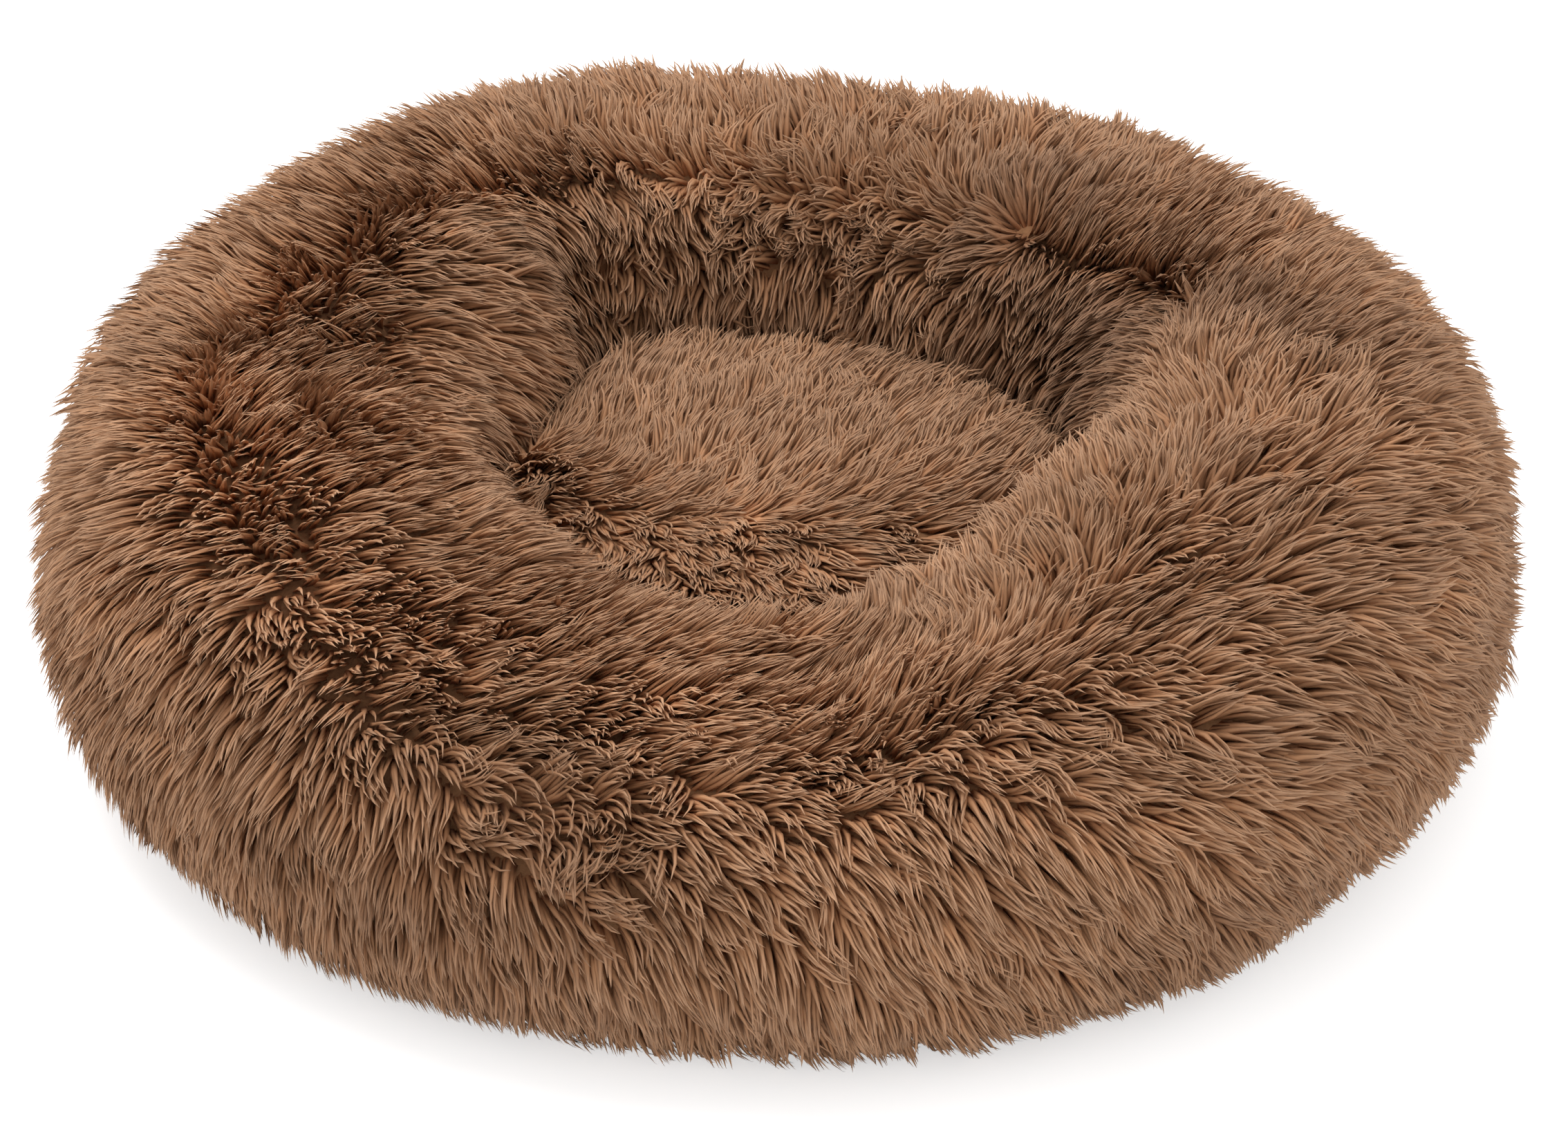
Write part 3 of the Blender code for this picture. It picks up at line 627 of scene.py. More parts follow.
# where the seat's pile lies flat: pixel, share, radius
seatFlatSpots = [
    (880, 780, 0.6, 0.030), (1000, 770, 0.6, 0.030), (1130, 800, 0.6, 0.030), (1280, 830, 0.5, 0.030),
]
combPlan = {
    "outward": 0.5,             # out of the bed and round it, against the share that hangs down
    "round": 0.7,
    "baseStrength": 0.35,
    "strokeRadius": 0.030,
    "longestStroke": 0.09,      # a longer one spans a fold of the form and is left out
    "blend": 14,                # passes that blend the pile across a parting
    "standBlend": 16,           # and a wider zone, where it stands up
    "standGain": 0.25,
    "calm": 12,                 # degrees that the pile wanders over some centimetres
    "tousled": 44,              # and where it is tousled
    "cells": (76, 34),
    "ringTousled": 0.12,        # how tousled the pile is everywhere
    "seatTousled": 0.16,
    "seatWay": (0.5, 0.8, 0),   # where no stroke is near
    "ringSeed": 21,
    "seatSeed": 22,
}
tintPlan = {
    "height": 0.10,             # of the tone's slow changes
    "cells": (40, 18),
    "ringSeed": 32,
    "seatSeed": 42,
}


def flatten(vectors, normals):
    return vectors - (vectors * normals).sum(-1, keepdims=True) * normals


def turnAbout(vectors, normals, angle):
    side = np.cross(normals, vectors)
    return vectors * np.cos(angle)[..., None] + side * np.sin(angle)[..., None]


def combPelt(pelt, strokes, base, plan, seed):
    field = flatten(base, pelt.normals) * plan["baseStrength"]
    for x0, y0, x1, y1 in strokes:
        root, tip = pelt.seen((x0, y0)), pelt.seen((x1, y1))
        if root is None and tip is None:
            continue
        if root is None or tip is None:
            # one end is past the outline, so the stroke runs across the line of sight
            root = tip = root if tip is None else tip
            stroke = np.array(pixelRay(camera, (x1, y1))[1] - pixelRay(camera, (x0, y0))[1])
        else:
            stroke = tip - root
            if np.linalg.norm(stroke) > plan["longestStroke"]:
                continue
        stroke = stroke / np.linalg.norm(stroke)
        distance = np.linalg.norm(pelt.points - (root + tip) / 2, axis=2)
        weight = np.exp(-(distance / plan["strokeRadius"]) ** 2)
        field = field + unit(flatten(stroke[None, None], pelt.normals)) * weight[..., None]
    together = np.linalg.norm(blurGrid(unit(field), plan["standBlend"], pelt.wraps), axis=2)
    pelt.stands = np.clip((1 - together) * plan["standGain"], 0, 1)
    wander = pelt.noise(seededRandom(seed), plan["cells"], 2)
    wander = wander * np.radians(plan["calm"] + plan["tousled"] * pelt.tousled)
    return turnAbout(blurGrid(unit(field), plan["blend"], pelt.wraps), pelt.normals, wander)


def tousle(pelt, spots, everywhere):
    # how tousled the pile is, from 0 to 1, at each point of the grid
    calm = np.ones(pelt.points.shape[:2]) * (1 - everywhere)
    for near, share in spotReach(pelt, spots):
        calm = calm * (1 - share * near)
    pelt.tousled = 1 - calm


def layDown(pelt, spots):
    # how flat the pile lies, from 0 to 1, at each point of the grid
    pelt.flat = np.zeros(pelt.points.shape[:2])
    for near, share in spotReach(pelt, spots):
        pelt.flat = np.maximum(pelt.flat, share * near)


def tintAndShade(pelt, spots, seed):
    # how much lighter or darker the pile is at each point of the grid: a random tone and the spots' painted
    # shade and light
    pelt.tone = pelt.noise(seededRandom(seed), tintPlan["cells"], 3) * tintPlan["height"]
    for near, share in spotReach(pelt, spots):
        pelt.tone = pelt.tone + share * near


def ringBase(pelt, plan):
    out = unit(pelt.points * np.array([1, 1, 0]))
    turn = np.stack([-out[..., 1], out[..., 0], out[..., 2]], -1)
    return out * plan["outward"] + turn * plan["round"] + np.array([0, 0, -1.0])


tousle(ringSkin, tousledSpots, combPlan["ringTousled"])
tousle(seatSkin, tousledSpots, combPlan["seatTousled"])
layDown(ringSkin, [])
layDown(seatSkin, seatFlatSpots)
tintAndShade(ringSkin, shadeAndLightSpots, tintPlan["ringSeed"])
tintAndShade(seatSkin, seatPaintedLightSpots, tintPlan["seatSeed"])
seatBase = np.zeros_like(seatSkin.points) + np.array(combPlan["seatWay"])
ringComb = combPelt(ringSkin, ringStrokes, ringBase(ringSkin, combPlan), combPlan, combPlan["ringSeed"])
seatComb = combPelt(seatSkin, seatStrokes, seatBase, combPlan, combPlan["seatSeed"])
print("pile combed")


# Pile: strands that grow from the backing, in tufts

def shapeOf(bm):
    # the corners and triangles of a small shape
    bmesh.ops.triangulate(bm, faces=bm.faces)
    bmesh.ops.recalc_face_normals(bm, faces=bm.faces)
    bm.verts.index_update()
    corners = np.array([vertex.co for vertex in bm.verts])
    faces = np.array([[vertex.index for vertex in face.verts] for face in bm.faces])
    bm.free()
    return corners, faces


def buildStrandShape(cuts):
    # one strand, a three-sided taper: x across, y up from the pelt, z from root 0 to tip 1
    bm = bmesh.new()
    bmesh.ops.create_cone(bm, cap_ends=True, segments=3, radius1=0.5, radius2=0, depth=1)
    bmesh.ops.translate(bm, verts=bm.verts, vec=Vector((0, 0, 0.5)))
    bmesh.ops.remove_doubles(bm, verts=bm.verts, dist=0.0001)
    for cut in cuts:
        geometry = bm.verts[:] + bm.edges[:] + bm.faces[:]
        bmesh.ops.bisect_plane(bm, geom=geometry, plane_co=(0, 0, cut), plane_no=(0, 0, 1))
    return shapeOf(bm)


strandPlan = {
    "cuts": (0.42, 0.72, 0.94),
    "widthShares": (0.7, 1.0, 1.0, 0.85, 0.0),
    "thickness": 0.50,          # share of the width
    "roll": 22,                 # degrees that strands lie turned about themselves
    "streakWidth": 0.012,       # step in tone from one side of a strand to the other
    "lengths": (0.80, 1.12),    # shortest and longest, as shares of the pile's length
    "lifts": (0.55, 1.4),
    "widths": (0.75, 1.25),
    "standWild": 0.3,           # how tousled the pile is where it stands up
    "ownWay": 0.6,              # share of its first direction that a strand keeps
    "stepShare": 0.42,          # of a length between two cuts, that each of its two steps covers
    "sink": 0.001,              # of the roots in the backing
    "clumpCurve": 1.6,          # how late the tips of a tuft draw together
    "ownTone": 0.06,
    "tuftTone": 0.05,
    "tones": (0.04, 0.96),
    "lowest": 0.0006,           # height over the floor
    "rootMark": 0.02,           # where the root and the tip lie up the pile's texture
    "tipMark": 0.98,
}
strandMarks = np.array([0, *strandPlan["cuts"], 1])
# where a value is a pair, its second number is added as the pile gets tousled
ringPile = {
    "spacing": 0.0028,
    "partingRoots": 0.02,       # more strands where the pile stands up more than this
    "length": 0.0200,
    "lift": 0.0160,             # height of the tips over the backing
    "unevenness": (0.10, 0.12),
    "arch": 1.25,               # 1 rises straight to the tip, more lies down sooner
    "partingArch": 0.2,         # more along a parting
    "partingReach": 0.75,       # share of their way that strands go where they stand up along a parting
    "partingLift": 0.08,        # and how much higher they reach
    "stray": (7, 16),           # degrees that strands differ in direction
    "bend": (10, 26),
    "strandsInTuft": 11,
    "tuftStray": (12, 36),      # degrees that tufts differ in direction
    "tuftBend": (17, 50),
    "tuftLift": 0.10,
    "clump": (0.34, 0.14),      # how far the tips of a tuft draw together
    "width": 0.0050,
    "sectors": 10,
    "seed": 31,
    "rootSeed": 51,
}
seatPile = ringPile | {
    "partingRoots": 0.03,
    "length": 0.0225,
    "lift": 0.0135,
    "unevenness": (0.11, 0.10),
    "partingArch": 0.1,
    "partingReach": 0.85,
    "partingLift": 0.0,
    "stray": (8, 16),
    "bend": (12, 26),
    "tuftStray": (15, 34),
    "tuftBend": (20, 46),
    "tuftLift": 0.11,
    "width": 0.0046,
    "sectors": 3,
    "seed": 41,
    "rootSeed": 53,
}


def scatterRoots(pelt, spacing, random, jitter=1.6):
    # jittered rows of roots, evenly spaced over the surface
    rows, columns = pelt.points.shape[:2]
    column = np.arange(columns)
    girths = np.linalg.norm(pelt.along, axis=2).sum(0)
    widths = np.linalg.norm(pelt.across, axis=2).mean(0)
    reach = np.concatenate([[0], np.cumsum(widths[:-1])])
    places = []
    for row in range(int(reach[-1] / spacing)):
        across = np.interp((row + 0.5) * spacing, reach, column)
        number = int(np.interp(across, column, girths) / spacing)
        if number < 2:
            continue
        i = (np.arange(number) + random.random(number)) / number * (rows if pelt.wraps else rows - 1)
        j = across + (random.random(number) - 0.5) * spacing / np.interp(across, column, widths) * jitter
        places.append(np.stack([i, np.clip(j, 0, columns - 1.01)], 1))
    return np.concatenate(places)


def gatherTufts(roots, strandsInTuft, random):
    # which tuft each strand belongs to: that of the nearest of some chosen strands
    middles = random.choice(len(roots), max(1, len(roots) // strandsInTuft), replace=False)
    tree = KDTree(len(middles))
    for index, middle in enumerate(middles):
        tree.insert(roots[middle], index)
    tree.balance()
    return np.array([tree.find(root)[1] for root in roots]), len(middles)


def growStrands(pelt, comb, plan, places, random):
    # centre line of each strand: points, sideways and upward directions at root, cuts and tip, and its tone,
    # which holds the spots' painted shade and light
    count = len(places)
    tuft, tufts = gatherTufts(pelt.at(places), plan["strandsInTuft"], random)
    stands = pelt.read(pelt.stands, places)
    wild = np.clip(pelt.read(pelt.tousled, places) + stands * strandPlan["standWild"], 0, 1)

    def wilder(key):
        calm, more = plan[key]
        return calm + more * wild

    def varied(own, shared):
        # each strand's own random value and that of its tuft
        return random.normal(0, 1, count) * own + random.normal(0, 1, tufts)[tuft] * shared

    length = (plan["length"] * random.uniform(*strandPlan["lengths"], count)
              * (1 - stands * (1 - plan["partingReach"])))
    lift = 1 + plan["partingLift"] * stands + varied(wilder("unevenness"), plan["tuftLift"])
    lift = plan["lift"] * np.clip(lift, *strandPlan["lifts"]) * (1 - pelt.read(pelt.flat, places))
    arch = plan["arch"] + plan["partingArch"] * stands
    stray = np.radians(varied(wilder("stray"), wilder("tuftStray")))
    bend = np.radians(varied(wilder("bend"), wilder("tuftBend")))
    roll = np.radians(random.normal(0, strandPlan["roll"], count))[:, None]
    normal = unit(pelt.read(pelt.normals, places))
    first = turnAbout(unit(flatten(pelt.read(comb, places), normal)), normal, stray)
    ownWay = strandPlan["ownWay"]
    place, done = places, 0
    points, sides, ups = [], [], []
    for mark in strandMarks:
        for _ in range(2):
            normal = unit(pelt.read(pelt.normals, place))
            ahead = flatten(first * ownWay + pelt.read(comb, place) * (1 - ownWay), normal)
            way = turnAbout(unit(ahead), normal, bend * done)
            place = pelt.step(place, way, length * (mark - done) * strandPlan["stepShare"])
        normal = unit(pelt.read(pelt.normals, place))
        rise = lift * (1 - (1 - mark) ** arch)
        side = np.cross(normal, way)
        points.append(pelt.at(place) + normal * (rise - strandPlan["sink"])[:, None])
        sides.append(side * np.cos(roll) + normal * np.sin(roll))
        ups.append(normal * np.cos(roll) - side * np.sin(roll))
        done = mark
    points = np.stack(points, 1)
    # the strands of a tuft draw together towards their tips
    middles = np.zeros((tufts, len(strandMarks), 3))
    np.add.at(middles, tuft, points)
    middles /= np.maximum(np.bincount(tuft, minlength=tufts), 1)[:, None, None]
    pull = wilder("clump")[:, None] * strandMarks[None] ** strandPlan["clumpCurve"]
    points = points + (middles[tuft] - points) * pull[..., None]
    tone = 0.5 + pelt.read(pelt.tone, places) + varied(strandPlan["ownTone"], strandPlan["tuftTone"])
    return points, np.stack(sides, 1), np.stack(ups, 1), np.clip(tone, *strandPlan["tones"])


def growPile(name, pelt, comb, plan, places, finish):
    random = seededRandom(plan["seed"])
    corners, faces = buildStrandShape(strandPlan["cuts"])
    nearest = np.abs(corners[:, 2][:, None] - strandMarks[None]).argmin(1)
    points, sides, ups, tone = growStrands(pelt, comb, plan, places, random)
    half = plan["width"] / 2 * random.uniform(*strandPlan["widths"], len(places))
    across, rise = corners[:, 0] / 0.5, corners[:, 1] / 0.5
    allPoints = np.zeros((len(places), len(corners), 3))
    for index, mark in enumerate(nearest):
        size = (half * strandPlan["widthShares"][mark])[:, None]
        allPoints[:, index] = (points[:, mark] + sides[:, mark] * across[index] * size
                               + ups[:, mark] * rise[index] * size * strandPlan["thickness"])
    allPoints[..., 2] = np.maximum(allPoints[..., 2], strandPlan["lowest"])
    uv = np.zeros((len(places), len(corners), 2))
    uv[..., 0] = tone[:, None] + across[None] * strandPlan["streakWidth"]
    rootMark, tipMark = strandPlan["rootMark"], strandPlan["tipMark"]
    uv[..., 1] = rootMark + (tipMark - rootMark) * corners[:, 2][None]
    azimuth = np.arctan2(points[:, 0, 1], points[:, 0, 0]) % math.tau
    sector = np.minimum((azimuth / math.tau * plan["sectors"]).astype(int), plan["sectors"] - 1)
    for index in range(plan["sectors"]):
        here = sector == index
        tileMesh(f"{name}{index + 1:02d}", allPoints[here], uv[here], faces, finish)


def addPiece(name, mesh, finish):
    mesh.shade_smooth()
    mesh.materials.append(finish)
    piece = addObject(name, mesh)
    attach(piece, "cover")
    return piece


def tileMesh(name, points, uv, faces, finish):
    # one mesh that holds many copies of a small shape
    copies, corners = points.shape[:2]
    allFaces = (faces[None] + (np.arange(copies) * corners)[:, None, None]).reshape(-1, 3)
    mesh = bpy.data.meshes.new(name)
    mesh.vertices.add(copies * corners)
    mesh.vertices.foreach_set("co", points.astype(np.float32).ravel())
    mesh.loops.add(allFaces.size)
    mesh.loops.foreach_set("vertex_index", allFaces.astype(np.int32).ravel())
    mesh.polygons.add(len(allFaces))
    mesh.polygons.foreach_set("loop_start", (np.arange(len(allFaces)) * 3).astype(np.int32))
    mesh.update(calc_edges=True)
    mesh.validate()
    if uv is not None:
        layer = mesh.uv_layers.new(name="OFBake")
        layer.data.foreach_set("uv", uv.reshape(-1, 2)[allFaces.ravel()].astype(np.float32).ravel())
    addPiece(name, mesh, finish)
    print(name, len(allFaces), "triangles")


plushPlan = {
    "roughness": 0.72,
    # the root is lighter and redder than the middle: painted light in place of light bouncing between the
    # strands to their roots
    "root": (0.660, 0.312, 0.142),
    "middle": (0.480, 0.246, 0.120),
    "tip": (0.500, 0.304, 0.184),
    "darkTone": (0.52, 0.47, 0.43),
    "lightTone": (1.24, 1.23, 1.22),
    "middlePlace": 0.55,        # of the middle colour, from root to tip
    "streaks": (150, 3),        # across a strand and along it
    "streakShare": 0.5,
}


def plushFinish(plan):
    finish = Finish("longPile", plan["roughness"])
    tone, height, _ = finish.node("ShaderNodeUVMap", {"uv_map": "OFBake"}).split()
    stops = [(0.0, plan["root"]), (plan["middlePlace"], plan["middle"]), (1.0, plan["tip"])]
    colour = finish.node("ShaderNodeValToRGB", {"stops": stops}, height)
    across, along = plan["streaks"]
    streak = finish.noise(finish.node("ShaderNodeCombineXYZ", {}, tone * across, height * along), 1.0)
    # the tone ramp darkens or lightens each strand by its tone, which holds random tone and the spots'
    # painted shade and light
    stops = [(0.0, plan["darkTone"]), (1.0, plan["lightTone"])]
    shade = finish.node("ShaderNodeValToRGB", {"stops": stops}, tone + (streak - 0.5) * plan["streakShare"])
    finish.set("Base Color", finish.mix(1.0, colour, shade, 'MULTIPLY'))
    return finish.material


def seatRoots(points):
    return np.hypot(points[:, 0], points[:, 1]) < seatRadius() - seatPlan["rootInset"]


def plantStrands(pelt, plan, keep=None):
    # even rows of roots, and more of them where the pile stands up along a parting
    places = scatterRoots(pelt, plan["spacing"], seededRandom(plan["rootSeed"]))
    for turn in (1, 2):
        more = scatterRoots(pelt, plan["spacing"], seededRandom(plan["rootSeed"] + turn))
        more = more[pelt.read(pelt.stands, more) > plan["partingRoots"] * turn ** 2]
        places = np.concatenate([places, more])
    return places if keep is None else places[keep(pelt.at(places))]


plush = plushFinish(plushPlan)
ringPlaces = plantStrands(ringSkin, ringPile)
seatPlaces = plantStrands(seatSkin, seatPile, seatRoots)
print("strands:", len(ringPlaces), len(seatPlaces))
growPile("ringPile", ringSkin, ringComb, ringPile, ringPlaces, plush)
growPile("seatPile", seatSkin, seatComb, seatPile, seatPlaces, plush)


# Backing under the pile. Its colour, darker than the pile's roots, is painted shade where it shows between
# the strands

backingShadePlan = {
    "roughness": 0.95,
    "dark": (0.190, 0.088, 0.036),
    "light": (0.290, 0.136, 0.058),
    "grains": 380,              # of the mottle, to a metre
    "detail": 3,
    "relief": 0.6,              # strength of the bumps, and their height in metres
    "reliefHeight": 0.002,
}


def bedPiece(name, bm, finish, sharpAngle=None):
    # a piece from its bmesh, with edges kept sharp past an angle in degrees
    bmesh.ops.recalc_face_normals(bm, faces=bm.faces)
    piece = addPiece(name, meshFrom(name, bm), finish)
    if sharpAngle:
        piece.data.set_sharp_from_angle(angle=math.radians(sharpAngle))
    return piece


def gridPiece(name, grid, finish, closesAcross=False):
    # a smooth grid of points as a piece, sewn up along the sides that meet
    grid = np.concatenate([grid, grid[:1]], 0)
    if closesAcross:
        grid = np.concatenate([grid, grid[:, :1]], 1)
    rows, columns = grid.shape[:2]
    bm = bmesh.new()
    bmesh.ops.create_grid(bm, x_segments=columns - 1, y_segments=rows - 1, size=1)
    bm.verts.ensure_lookup_table()
    for vertex, point in zip(bm.verts, grid.reshape(-1, 3)):
        vertex.co = point
    bmesh.ops.remove_doubles(bm, verts=bm.verts, dist=mergeDistance)
    return bedPiece(name, bm, finish)


def ringLoop(pelt, plan):
    # the ring's backing with its underside, from the crease back to the outer foot
    last, first = pelt.points[:, -1], pelt.points[:, 0]
    middle = (last + first) / 2
    middle[:, 2] = plan["underHeight"] * 2 - middle[:, 2]
    shares = np.linspace(0, 1, plan["underSteps"] + 2)[1:-1][None, :, None]
    under = (last[:, None] * (1 - shares) ** 2 + middle[:, None] * 2 * shares * (1 - shares)
             + first[:, None] * shares ** 2)
    under[..., 2] = np.maximum(under[..., 2], plan["underHeight"])
    return np.concatenate([pelt.points, under], 1)


def seatLoop(pelt, plan):
    # the seat's backing as a closed pad: crown, side and flat underside, round the middle
    half = seatRadius()
    radius = half - plan["rootInset"]
    turns = np.arange(plan["azimuths"]) * math.tau / plan["azimuths"]
    out = np.stack([np.cos(turns), np.sin(turns)], 1)[:, None]
    shares = np.linspace(0, 1, plan["rings"])
    flat = out * (shares * radius)[None, :, None]
    place = (flat.reshape(-1, 2) + half) / (2 * half) * (len(pelt.points) - 1)
    height = pelt.read(pelt.points, place)[:, 2].reshape(len(turns), -1, 1)
    crown = np.concatenate([flat, height], 2)
    side = []
    for drop in np.linspace(0, 1, plan["sideSteps"] + 1)[1:]:
        edge = out[:, 0] * radius * (1 - plan["sideTaper"] * drop ** 3)
        side.append(np.concatenate([edge, crown[:, -1, 2:] * (1 - drop) + plan["footHeight"] * drop], 1))
    under = [side[-1] * [share, share, 1] for share in plan["underShares"]]
    return np.concatenate([crown, np.stack(side + under, 1)], 1)


backing = mottledFinish("pileBackingShade", backingShadePlan)
ringBacking = gridPiece("ringBacking", ringLoop(ringSkin, ringPlan), backing, closesAcross=True)
seatBacking = gridPiece("seatBacking", seatLoop(seatSkin, seatPlan), backing)
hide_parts("ring_cover")
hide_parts("seat_cover")


# Linings and fillings, inside

liningPlan = {
    "dark": (0.58, 0.55, 0.49),
    "light": (0.78, 0.75, 0.69),
    "threadPitch": 0.0011,
    "widths": {"ring_lining_top": 0.56, "ring_lining_bottom": 0.56,     # of the cloth each is cut from
               "seat_lining_top": 0.25, "seat_lining_bottom": 0.25},
}
fillingPlan = {
    "roughness": 0.95,
    "dark": (0.72, 0.71, 0.68),
    "light": (0.90, 0.89, 0.86),
    "grains": 260,
    "detail": 4,
    "grit": 0.7,
    "relief": 0.7,
    "reliefHeight": 0.002,
    "fills": {"ring_filling": 0.75, "seat_filling": 0.6},
}
insidePlan = {
    "inset": 0.86,              # size against the solid, so that it stays under the plush
    "seatMiddle": 0.04,         # height that the seat's pieces shrink towards
}


def pieceName(name, ending):
    first, *others = name.split("_")
    return first + "".join(word.capitalize() for word in others) + ending


def innerPiece(name, ending, finish, plan):
    # a smooth copy of a hidden soft solid, drawn in a little
    bm = bmesh.new()
    bm.from_mesh(nodes[name].data)
    bmesh.ops.remove_doubles(bm, verts=bm.verts, dist=mergeDistance)
    tubeRadius, tubeHeight = tubeCentre() if name.startswith("ring") else (0, plan["seatMiddle"])
    for vertex in bm.verts:
        radius = math.hypot(vertex.co.x, vertex.co.y)
        middle = Vector((vertex.co.x, vertex.co.y, 0)) * (tubeRadius / radius if tubeRadius else 0)
        middle.z = tubeHeight
        vertex.co = middle + (vertex.co - middle) * plan["inset"]
    piece = bedPiece(pieceName(name, ending), bm, finish)
    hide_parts(name)
    return piece


def clothFinish(name, plan):
    # threads that cross at the pitch, in metres, and a mottle in the dye
    finish = Finish(name, 0.9)
    x, y, _ = finish.place().split()
    turns = math.tau / plan["threadPitch"]
    weave = (x * turns).math('SINE') * (y * turns).math('SINE')
    mottle = finish.noise(finish.place(), 60, 3)
    finish.set("Base Color", finish.mix(weave * 0.25 + mottle * 0.8 + 0.1, plan["dark"], plan["light"]))
    finish.relief(weave, 0.5, 0.0002)
    return finish.material


liningCloth = clothFinish("liningCloth", liningPlan)
for name, width in liningPlan["widths"].items():
    panel = innerPiece(name, "Cloth", liningCloth, insidePlan)
fibre = mottledFinish("looseFibre", fillingPlan)
for name, fill in fillingPlan["fills"].items():
    innerPiece(name, "Fibre", fibre, insidePlan)
print("backing, linings and filling laid")


# Base cloth with its grip dots, and the sewn tapes. Angles are in degrees from +X, the zip's round the back

basePlan = {
    # radius and height, from the middle to the edge
    "profile": ((0.0, 0.0020), (0.06, 0.0020), (0.12, 0.0020), (0.17, 0.0020), (0.205, 0.0020),
                (0.219, 0.0020), (0.225, 0.0024), (0.232, 0.0046), (0.238, 0.0066), (0.2410, 0.0070),
                (0.251, 0.0070), (0.2609, 0.0070)),
    "thickness": 0.0015,
    "azimuths": 180,
    "flat": (0.524, 0.524),
    "sag": 0.00005,             # that the whole cloth lies lower than its profile
    "window": (48, 128),        # left open for the zip and its pull ...
    "windowRadius": 0.2410,     # ... from here outwards
    "puckers": 90,              # small gathers along the seam
    "puckerStart": 0.219,
    "puckerDepth": 0.00035,
    "dark": (0.060, 0.036, 0.024),
    "light": (0.150, 0.098, 0.070),
    "threadPitch": 0.0009,
}
dotPlan = {
    "radius": 0.004,
    "taper": 0.8,               # of the face that stands on the floor
    "height": 0.0012,
    "rounding": 0.0004,
    "spacing": 0.062,
    "reach": 0.207,
    "roughness": 0.6,
    "dark": (0.030, 0.020, 0.015),
    "light": (0.054, 0.036, 0.027),
    "grains": 500,
    "detail": 2,
    "relief": 0.3,
    "reliefHeight": 0.0002,
}
tapePlans = {
    # node: inner radius, outer radius, bottom, top, first and last angle
    "edge_binding": (0.2490, 0.2610, 0.0081, 0.0089, 128.8, 411.2),
    "zip_tape_inner": (0.2350, 0.2443, 0.0081, 0.0089, 51.23, 128.77),
    "zip_tape_outer": (0.2517, 0.2609, 0.0081, 0.0089, 51.23, 128.77),
}
tapeLook = {
    "dark": (0.062, 0.036, 0.023),
    "light": (0.150, 0.092, 0.060),
    "ribPitch": 0.0010,
    "rounding": 0.00025,
    "step": 2.0,                # degrees
    "seamTapeWidth": 0.019,
    "leastSheetWidth": 0.010,   # narrower is webbing, which isn't cut from cloth
}
stitchPlan = {
    "length": 0.0034,
    "pitch": 0.0050,
    "thickness": 0.0006,
    # radius, height, first and last angle
    "rows": ((0.2555, 0.0060, 130, 407), (0.2585, 0.0060, 130, 407), (0.2395, 0.0059, 48, 128)),
    "roughness": 0.7,
    "dark": (0.085, 0.050, 0.030),
    "light": (0.1445, 0.085, 0.051),
    "grains": 1800,
    "detail": 1,
    "relief": 0.4,
    "reliefHeight": 0.0002,
}
sharpAngle = 50


def turnOf(point):
    return math.degrees(math.atan2(point.y, point.x)) % 360


def baseCloth(plan):
    bm = bmesh.new()
    line = [bm.verts.new((radius, 0, height)) for radius, height in plan["profile"]]
    edges = [bm.edges.new(pair) for pair in zip(line, line[1:])]
    bmesh.ops.spin(bm, geom=line + edges, cent=(0, 0, 0), axis=(0, 0, 1), angle=math.tau,
                   steps=plan["azimuths"], use_merge=True)
    bmesh.ops.remove_doubles(bm, verts=bm.verts, dist=mergeDistance)
    first, last = plan["window"]
    middles = [(face, face.calc_center_median()) for face in bm.faces]
    cut = [face for face, middle in middles
           if first < turnOf(middle) < last and middle.xy.length > plan["windowRadius"]]
    bmesh.ops.delete(bm, geom=cut, context='FACES')
    start, rim = plan["puckerStart"], plan["profile"][-1][0]
    for vertex in bm.verts:
        share = max(0, (vertex.co.xy.length - start) / (rim - start))
        wave = math.sin(math.radians(turnOf(vertex.co)) * plan["puckers"])
        vertex.co.z += wave * plan["puckerDepth"] * share * (1 - share) * 4
    bmesh.ops.recalc_face_normals(bm, faces=bm.faces)
    bmesh.ops.solidify(bm, geom=bm.faces, thickness=plan["thickness"])
    bmesh.ops.translate(bm, verts=bm.verts, vec=(0, 0, -plan["sag"]))
    return bm


def roundEdges(bm, edges, width):
    bmesh.ops.bevel(bm, geom=edges, offset=width, affect='EDGES', segments=2, profile=0.5, material=-1)
    return bm


def gripDots(plan):
    bm = bmesh.new()
    rowPitch = plan["spacing"] * math.sqrt(3) / 2
    rows = int(plan["reach"] / rowPitch)
    columns = int(plan["reach"] / plan["spacing"]) + 1
    for row in range(-rows, rows + 1):
        for column in range(-columns, columns + 1):
            place = Vector(((column + row % 2 / 2) * plan["spacing"], row * rowPitch, 0))
            if place.length > plan["reach"]:
                continue
            made = bmesh.ops.create_cone(bm, cap_ends=True, segments=20, depth=plan["height"],
                                         radius1=plan["radius"] * plan["taper"], radius2=plan["radius"])
            bmesh.ops.translate(bm, verts=made["verts"], vec=place + Vector((0, 0, plan["height"] / 2)))
    rim = [edge for edge in bm.edges if max(vertex.co.z for vertex in edge.verts) < plan["height"] / 2]
    return roundEdges(bm, rim, plan["rounding"])


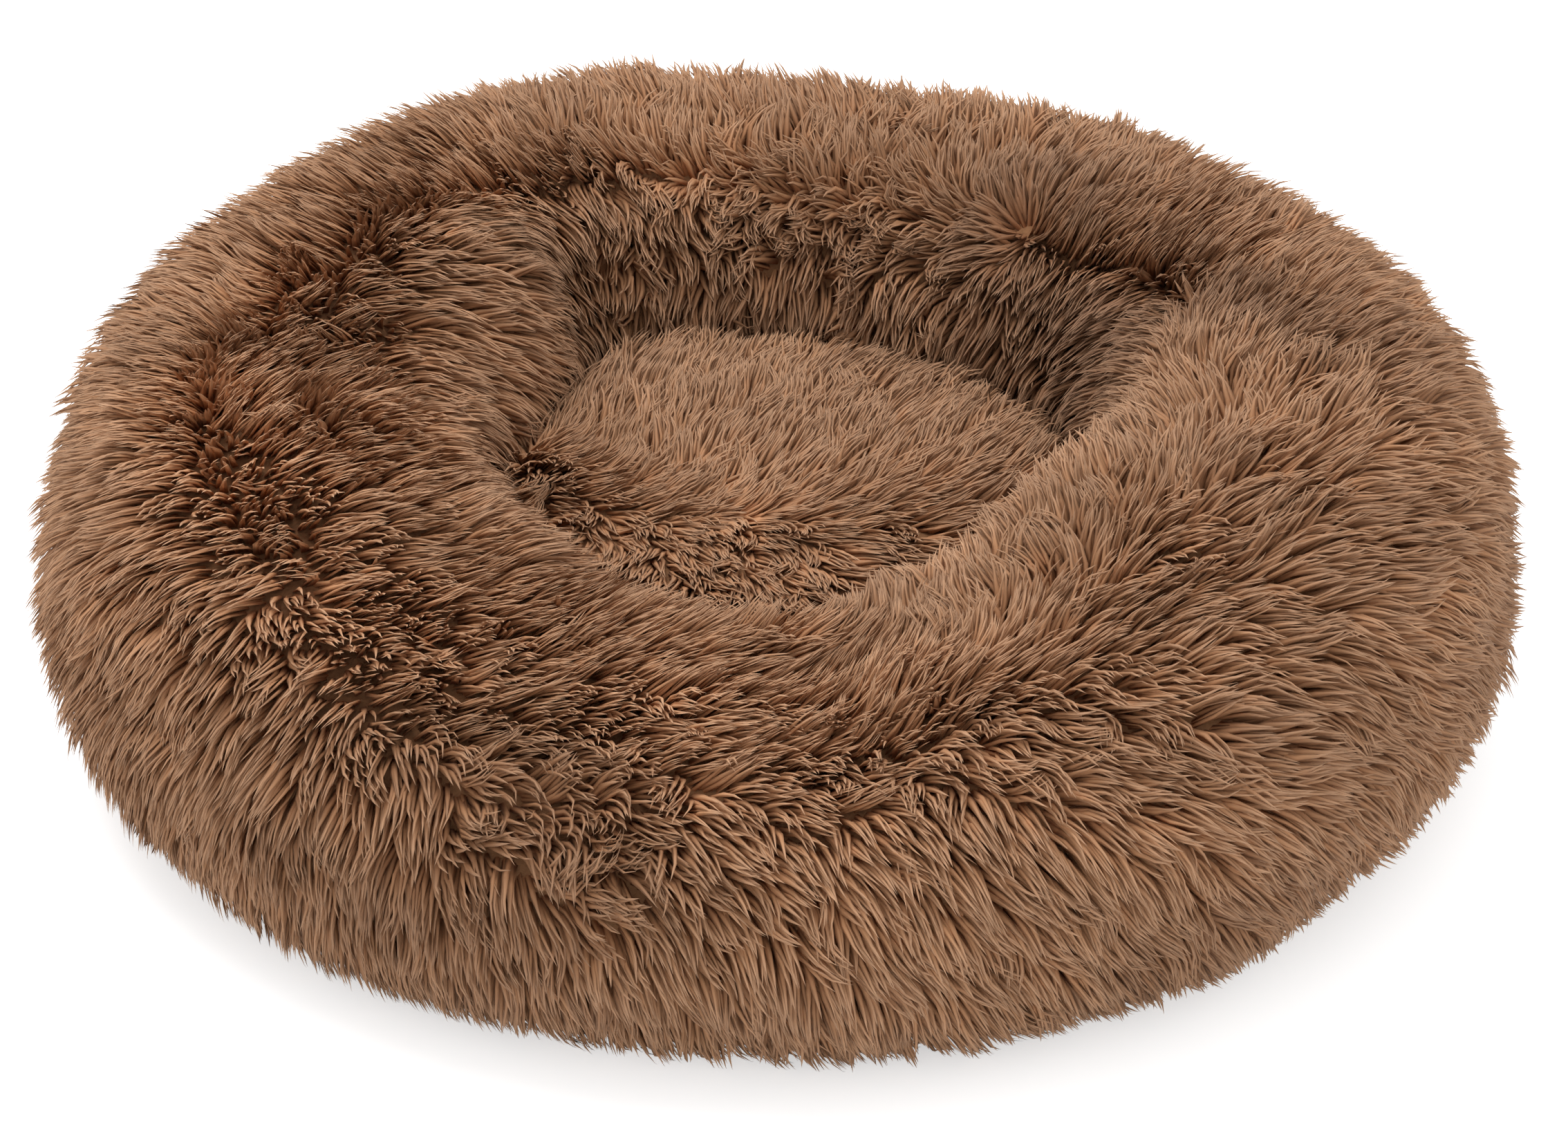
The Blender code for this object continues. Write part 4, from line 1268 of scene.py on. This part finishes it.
def tape(inner, outer, bottom, top, first, last):
    # a flat woven tape, bent round the bed, with its long edges rounded
    bm = bmesh.new()
    start = math.radians(first)
    corners = [bm.verts.new((radius * math.cos(start), radius * math.sin(start), height))
               for radius, height in ((inner, bottom), (outer, bottom), (outer, top), (inner, top))]
    edges = [bm.edges.new(pair) for pair in zip(corners, corners[1:] + corners[:1])]
    turn = math.radians(last - first)
    steps = math.ceil((last - first) / tapeLook["step"])
    whole = abs(last - first - 360) < 0.01
    bmesh.ops.spin(bm, geom=corners + edges, cent=(0, 0, 0), axis=(0, 0, 1), angle=turn, steps=steps,
                   use_merge=whole)
    if whole:
        bmesh.ops.remove_doubles(bm, verts=bm.verts, dist=mergeDistance)
    else:
        bmesh.ops.holes_fill(bm, edges=[edge for edge in bm.edges if edge.is_boundary], sides=0)
    bmesh.ops.recalc_face_normals(bm, faces=bm.faces)
    longEdges = [edge for edge in bm.edges if edge.calc_face_angle(0) > 1.2
                 and abs(edge.verts[0].co.xy.length - edge.verts[1].co.xy.length) < 0.0001]
    return roundEdges(bm, longEdges, tapeLook["rounding"])


def stitchPoints(plan):
    # the corners of every stitch, and the faces of one
    bm = bmesh.new()
    bmesh.ops.create_uvsphere(bm, u_segments=6, v_segments=4, radius=0.5)
    corners, faces = shapeOf(bm)
    shape = corners * [plan["thickness"], plan["length"], plan["thickness"]]
    rows = []
    for radius, height, first, last in plan["rows"]:
        count = int(math.radians(last - first) * radius / plan["pitch"])
        turns = math.radians(first) + (np.arange(count)[:, None] + 0.5) * plan["pitch"] / radius
        out, along = shape[None, :, 0] + radius, shape[None, :, 1]
        rows.append(np.stack([out * np.cos(turns) - along * np.sin(turns),
                              out * np.sin(turns) + along * np.cos(turns),
                              shape[None, :, 2] + height + turns * 0], 2))
    return np.concatenate(rows), faces


def tapeFinish(plan):
    # twill whose ribs run along the tape
    finish = Finish("wovenTape", 0.82)
    place = finish.place()
    x, y, _ = place.split()
    rib = ((x * x + y * y).math('SQRT') * (math.tau / plan["ribPitch"])).math('SINE')
    mottle = finish.noise(place, 300)
    finish.set("Base Color", finish.mix(rib * 0.2 + mottle, plan["dark"], plan["light"]))
    finish.relief(rib + mottle * 0.6, 0.5, 0.0002)
    return finish.material


fabric, rubber = clothFinish("baseFabric", basePlan), mottledFinish("gripRubber", dotPlan)
base = bedPiece("baseCloth", baseCloth(basePlan), fabric, sharpAngle)
dots = bedPiece("gripDots", gripDots(dotPlan), rubber, sharpAngle)
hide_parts("base_cloth")
woven = tapeFinish(tapeLook)
seamRadius = max(vertex.co.xy.length for vertex in nodes["seat_seam_tape"].data.vertices)
seamHeights = [corner.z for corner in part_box("seat_seam_tape")]
tapePlans["seat_seam_tape"] = (seamRadius - tapeLook["seamTapeWidth"], seamRadius, *seamHeights, 0, 360)
for name, places in tapePlans.items():
    piece = bedPiece(pieceName(name, "Cloth"), tape(*places), woven, sharpAngle)
    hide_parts(name)
    width = places[1] - places[0]
    length = math.radians(places[5] - places[4]) * (places[0] + places[1]) / 2
    width > tapeLook["leastSheetWidth"]
points, faces = stitchPoints(stitchPlan)
tileMesh("seamStitches", points, None, faces, mottledFinish("sewingThread", stitchPlan))
print("base cloth and tapes sewn")


# Zip: the frame's own solids, in moulded plastic and lacquered metal

plasticPlan = {
    "nodes": ("zip_teeth_inner", "zip_teeth_outer"),
    "roughness": 0.34,
    "roughnessGain": 0.2,
    "dark": (0.060, 0.034, 0.022),
    "light": (0.120, 0.074, 0.048),
    "grains": 700,
    "detail": 2,
    "relief": 0.2,
    "reliefHeight": 0.0001,
}
lacquerPlan = {
    "nodes": ("zip_top_stop_inner", "zip_top_stop_outer", "zip_bottom_stop", "zip_slider", "zip_pull"),
    "metallic": 0.85,
    "roughness": 0.18,
    "roughnessGain": 0.3,
    "dark": (0.130, 0.085, 0.052),
    "light": (0.260, 0.180, 0.115),
    "grains": 420,
    "detail": 4,
    "grit": 0.65,
    "relief": 0.15,
    "reliefHeight": 0.0001,
}
for name, plan in (("zipPlastic", plasticPlan), ("zipLacquer", lacquerPlan)):
    finish = mottledFinish(name, plan)
    for node in plan["nodes"]:
        nodes[node].material_slots[0].material = finish
print("zip finished")

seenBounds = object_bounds()
growth = [(seenBounds[1][k] - seenBounds[0][k]) - (cadBounds[1][k] - cadBounds[0][k]) for k in range(3)]
print("sides grow by mm", [round(side * 1000, 1) for side in growth])
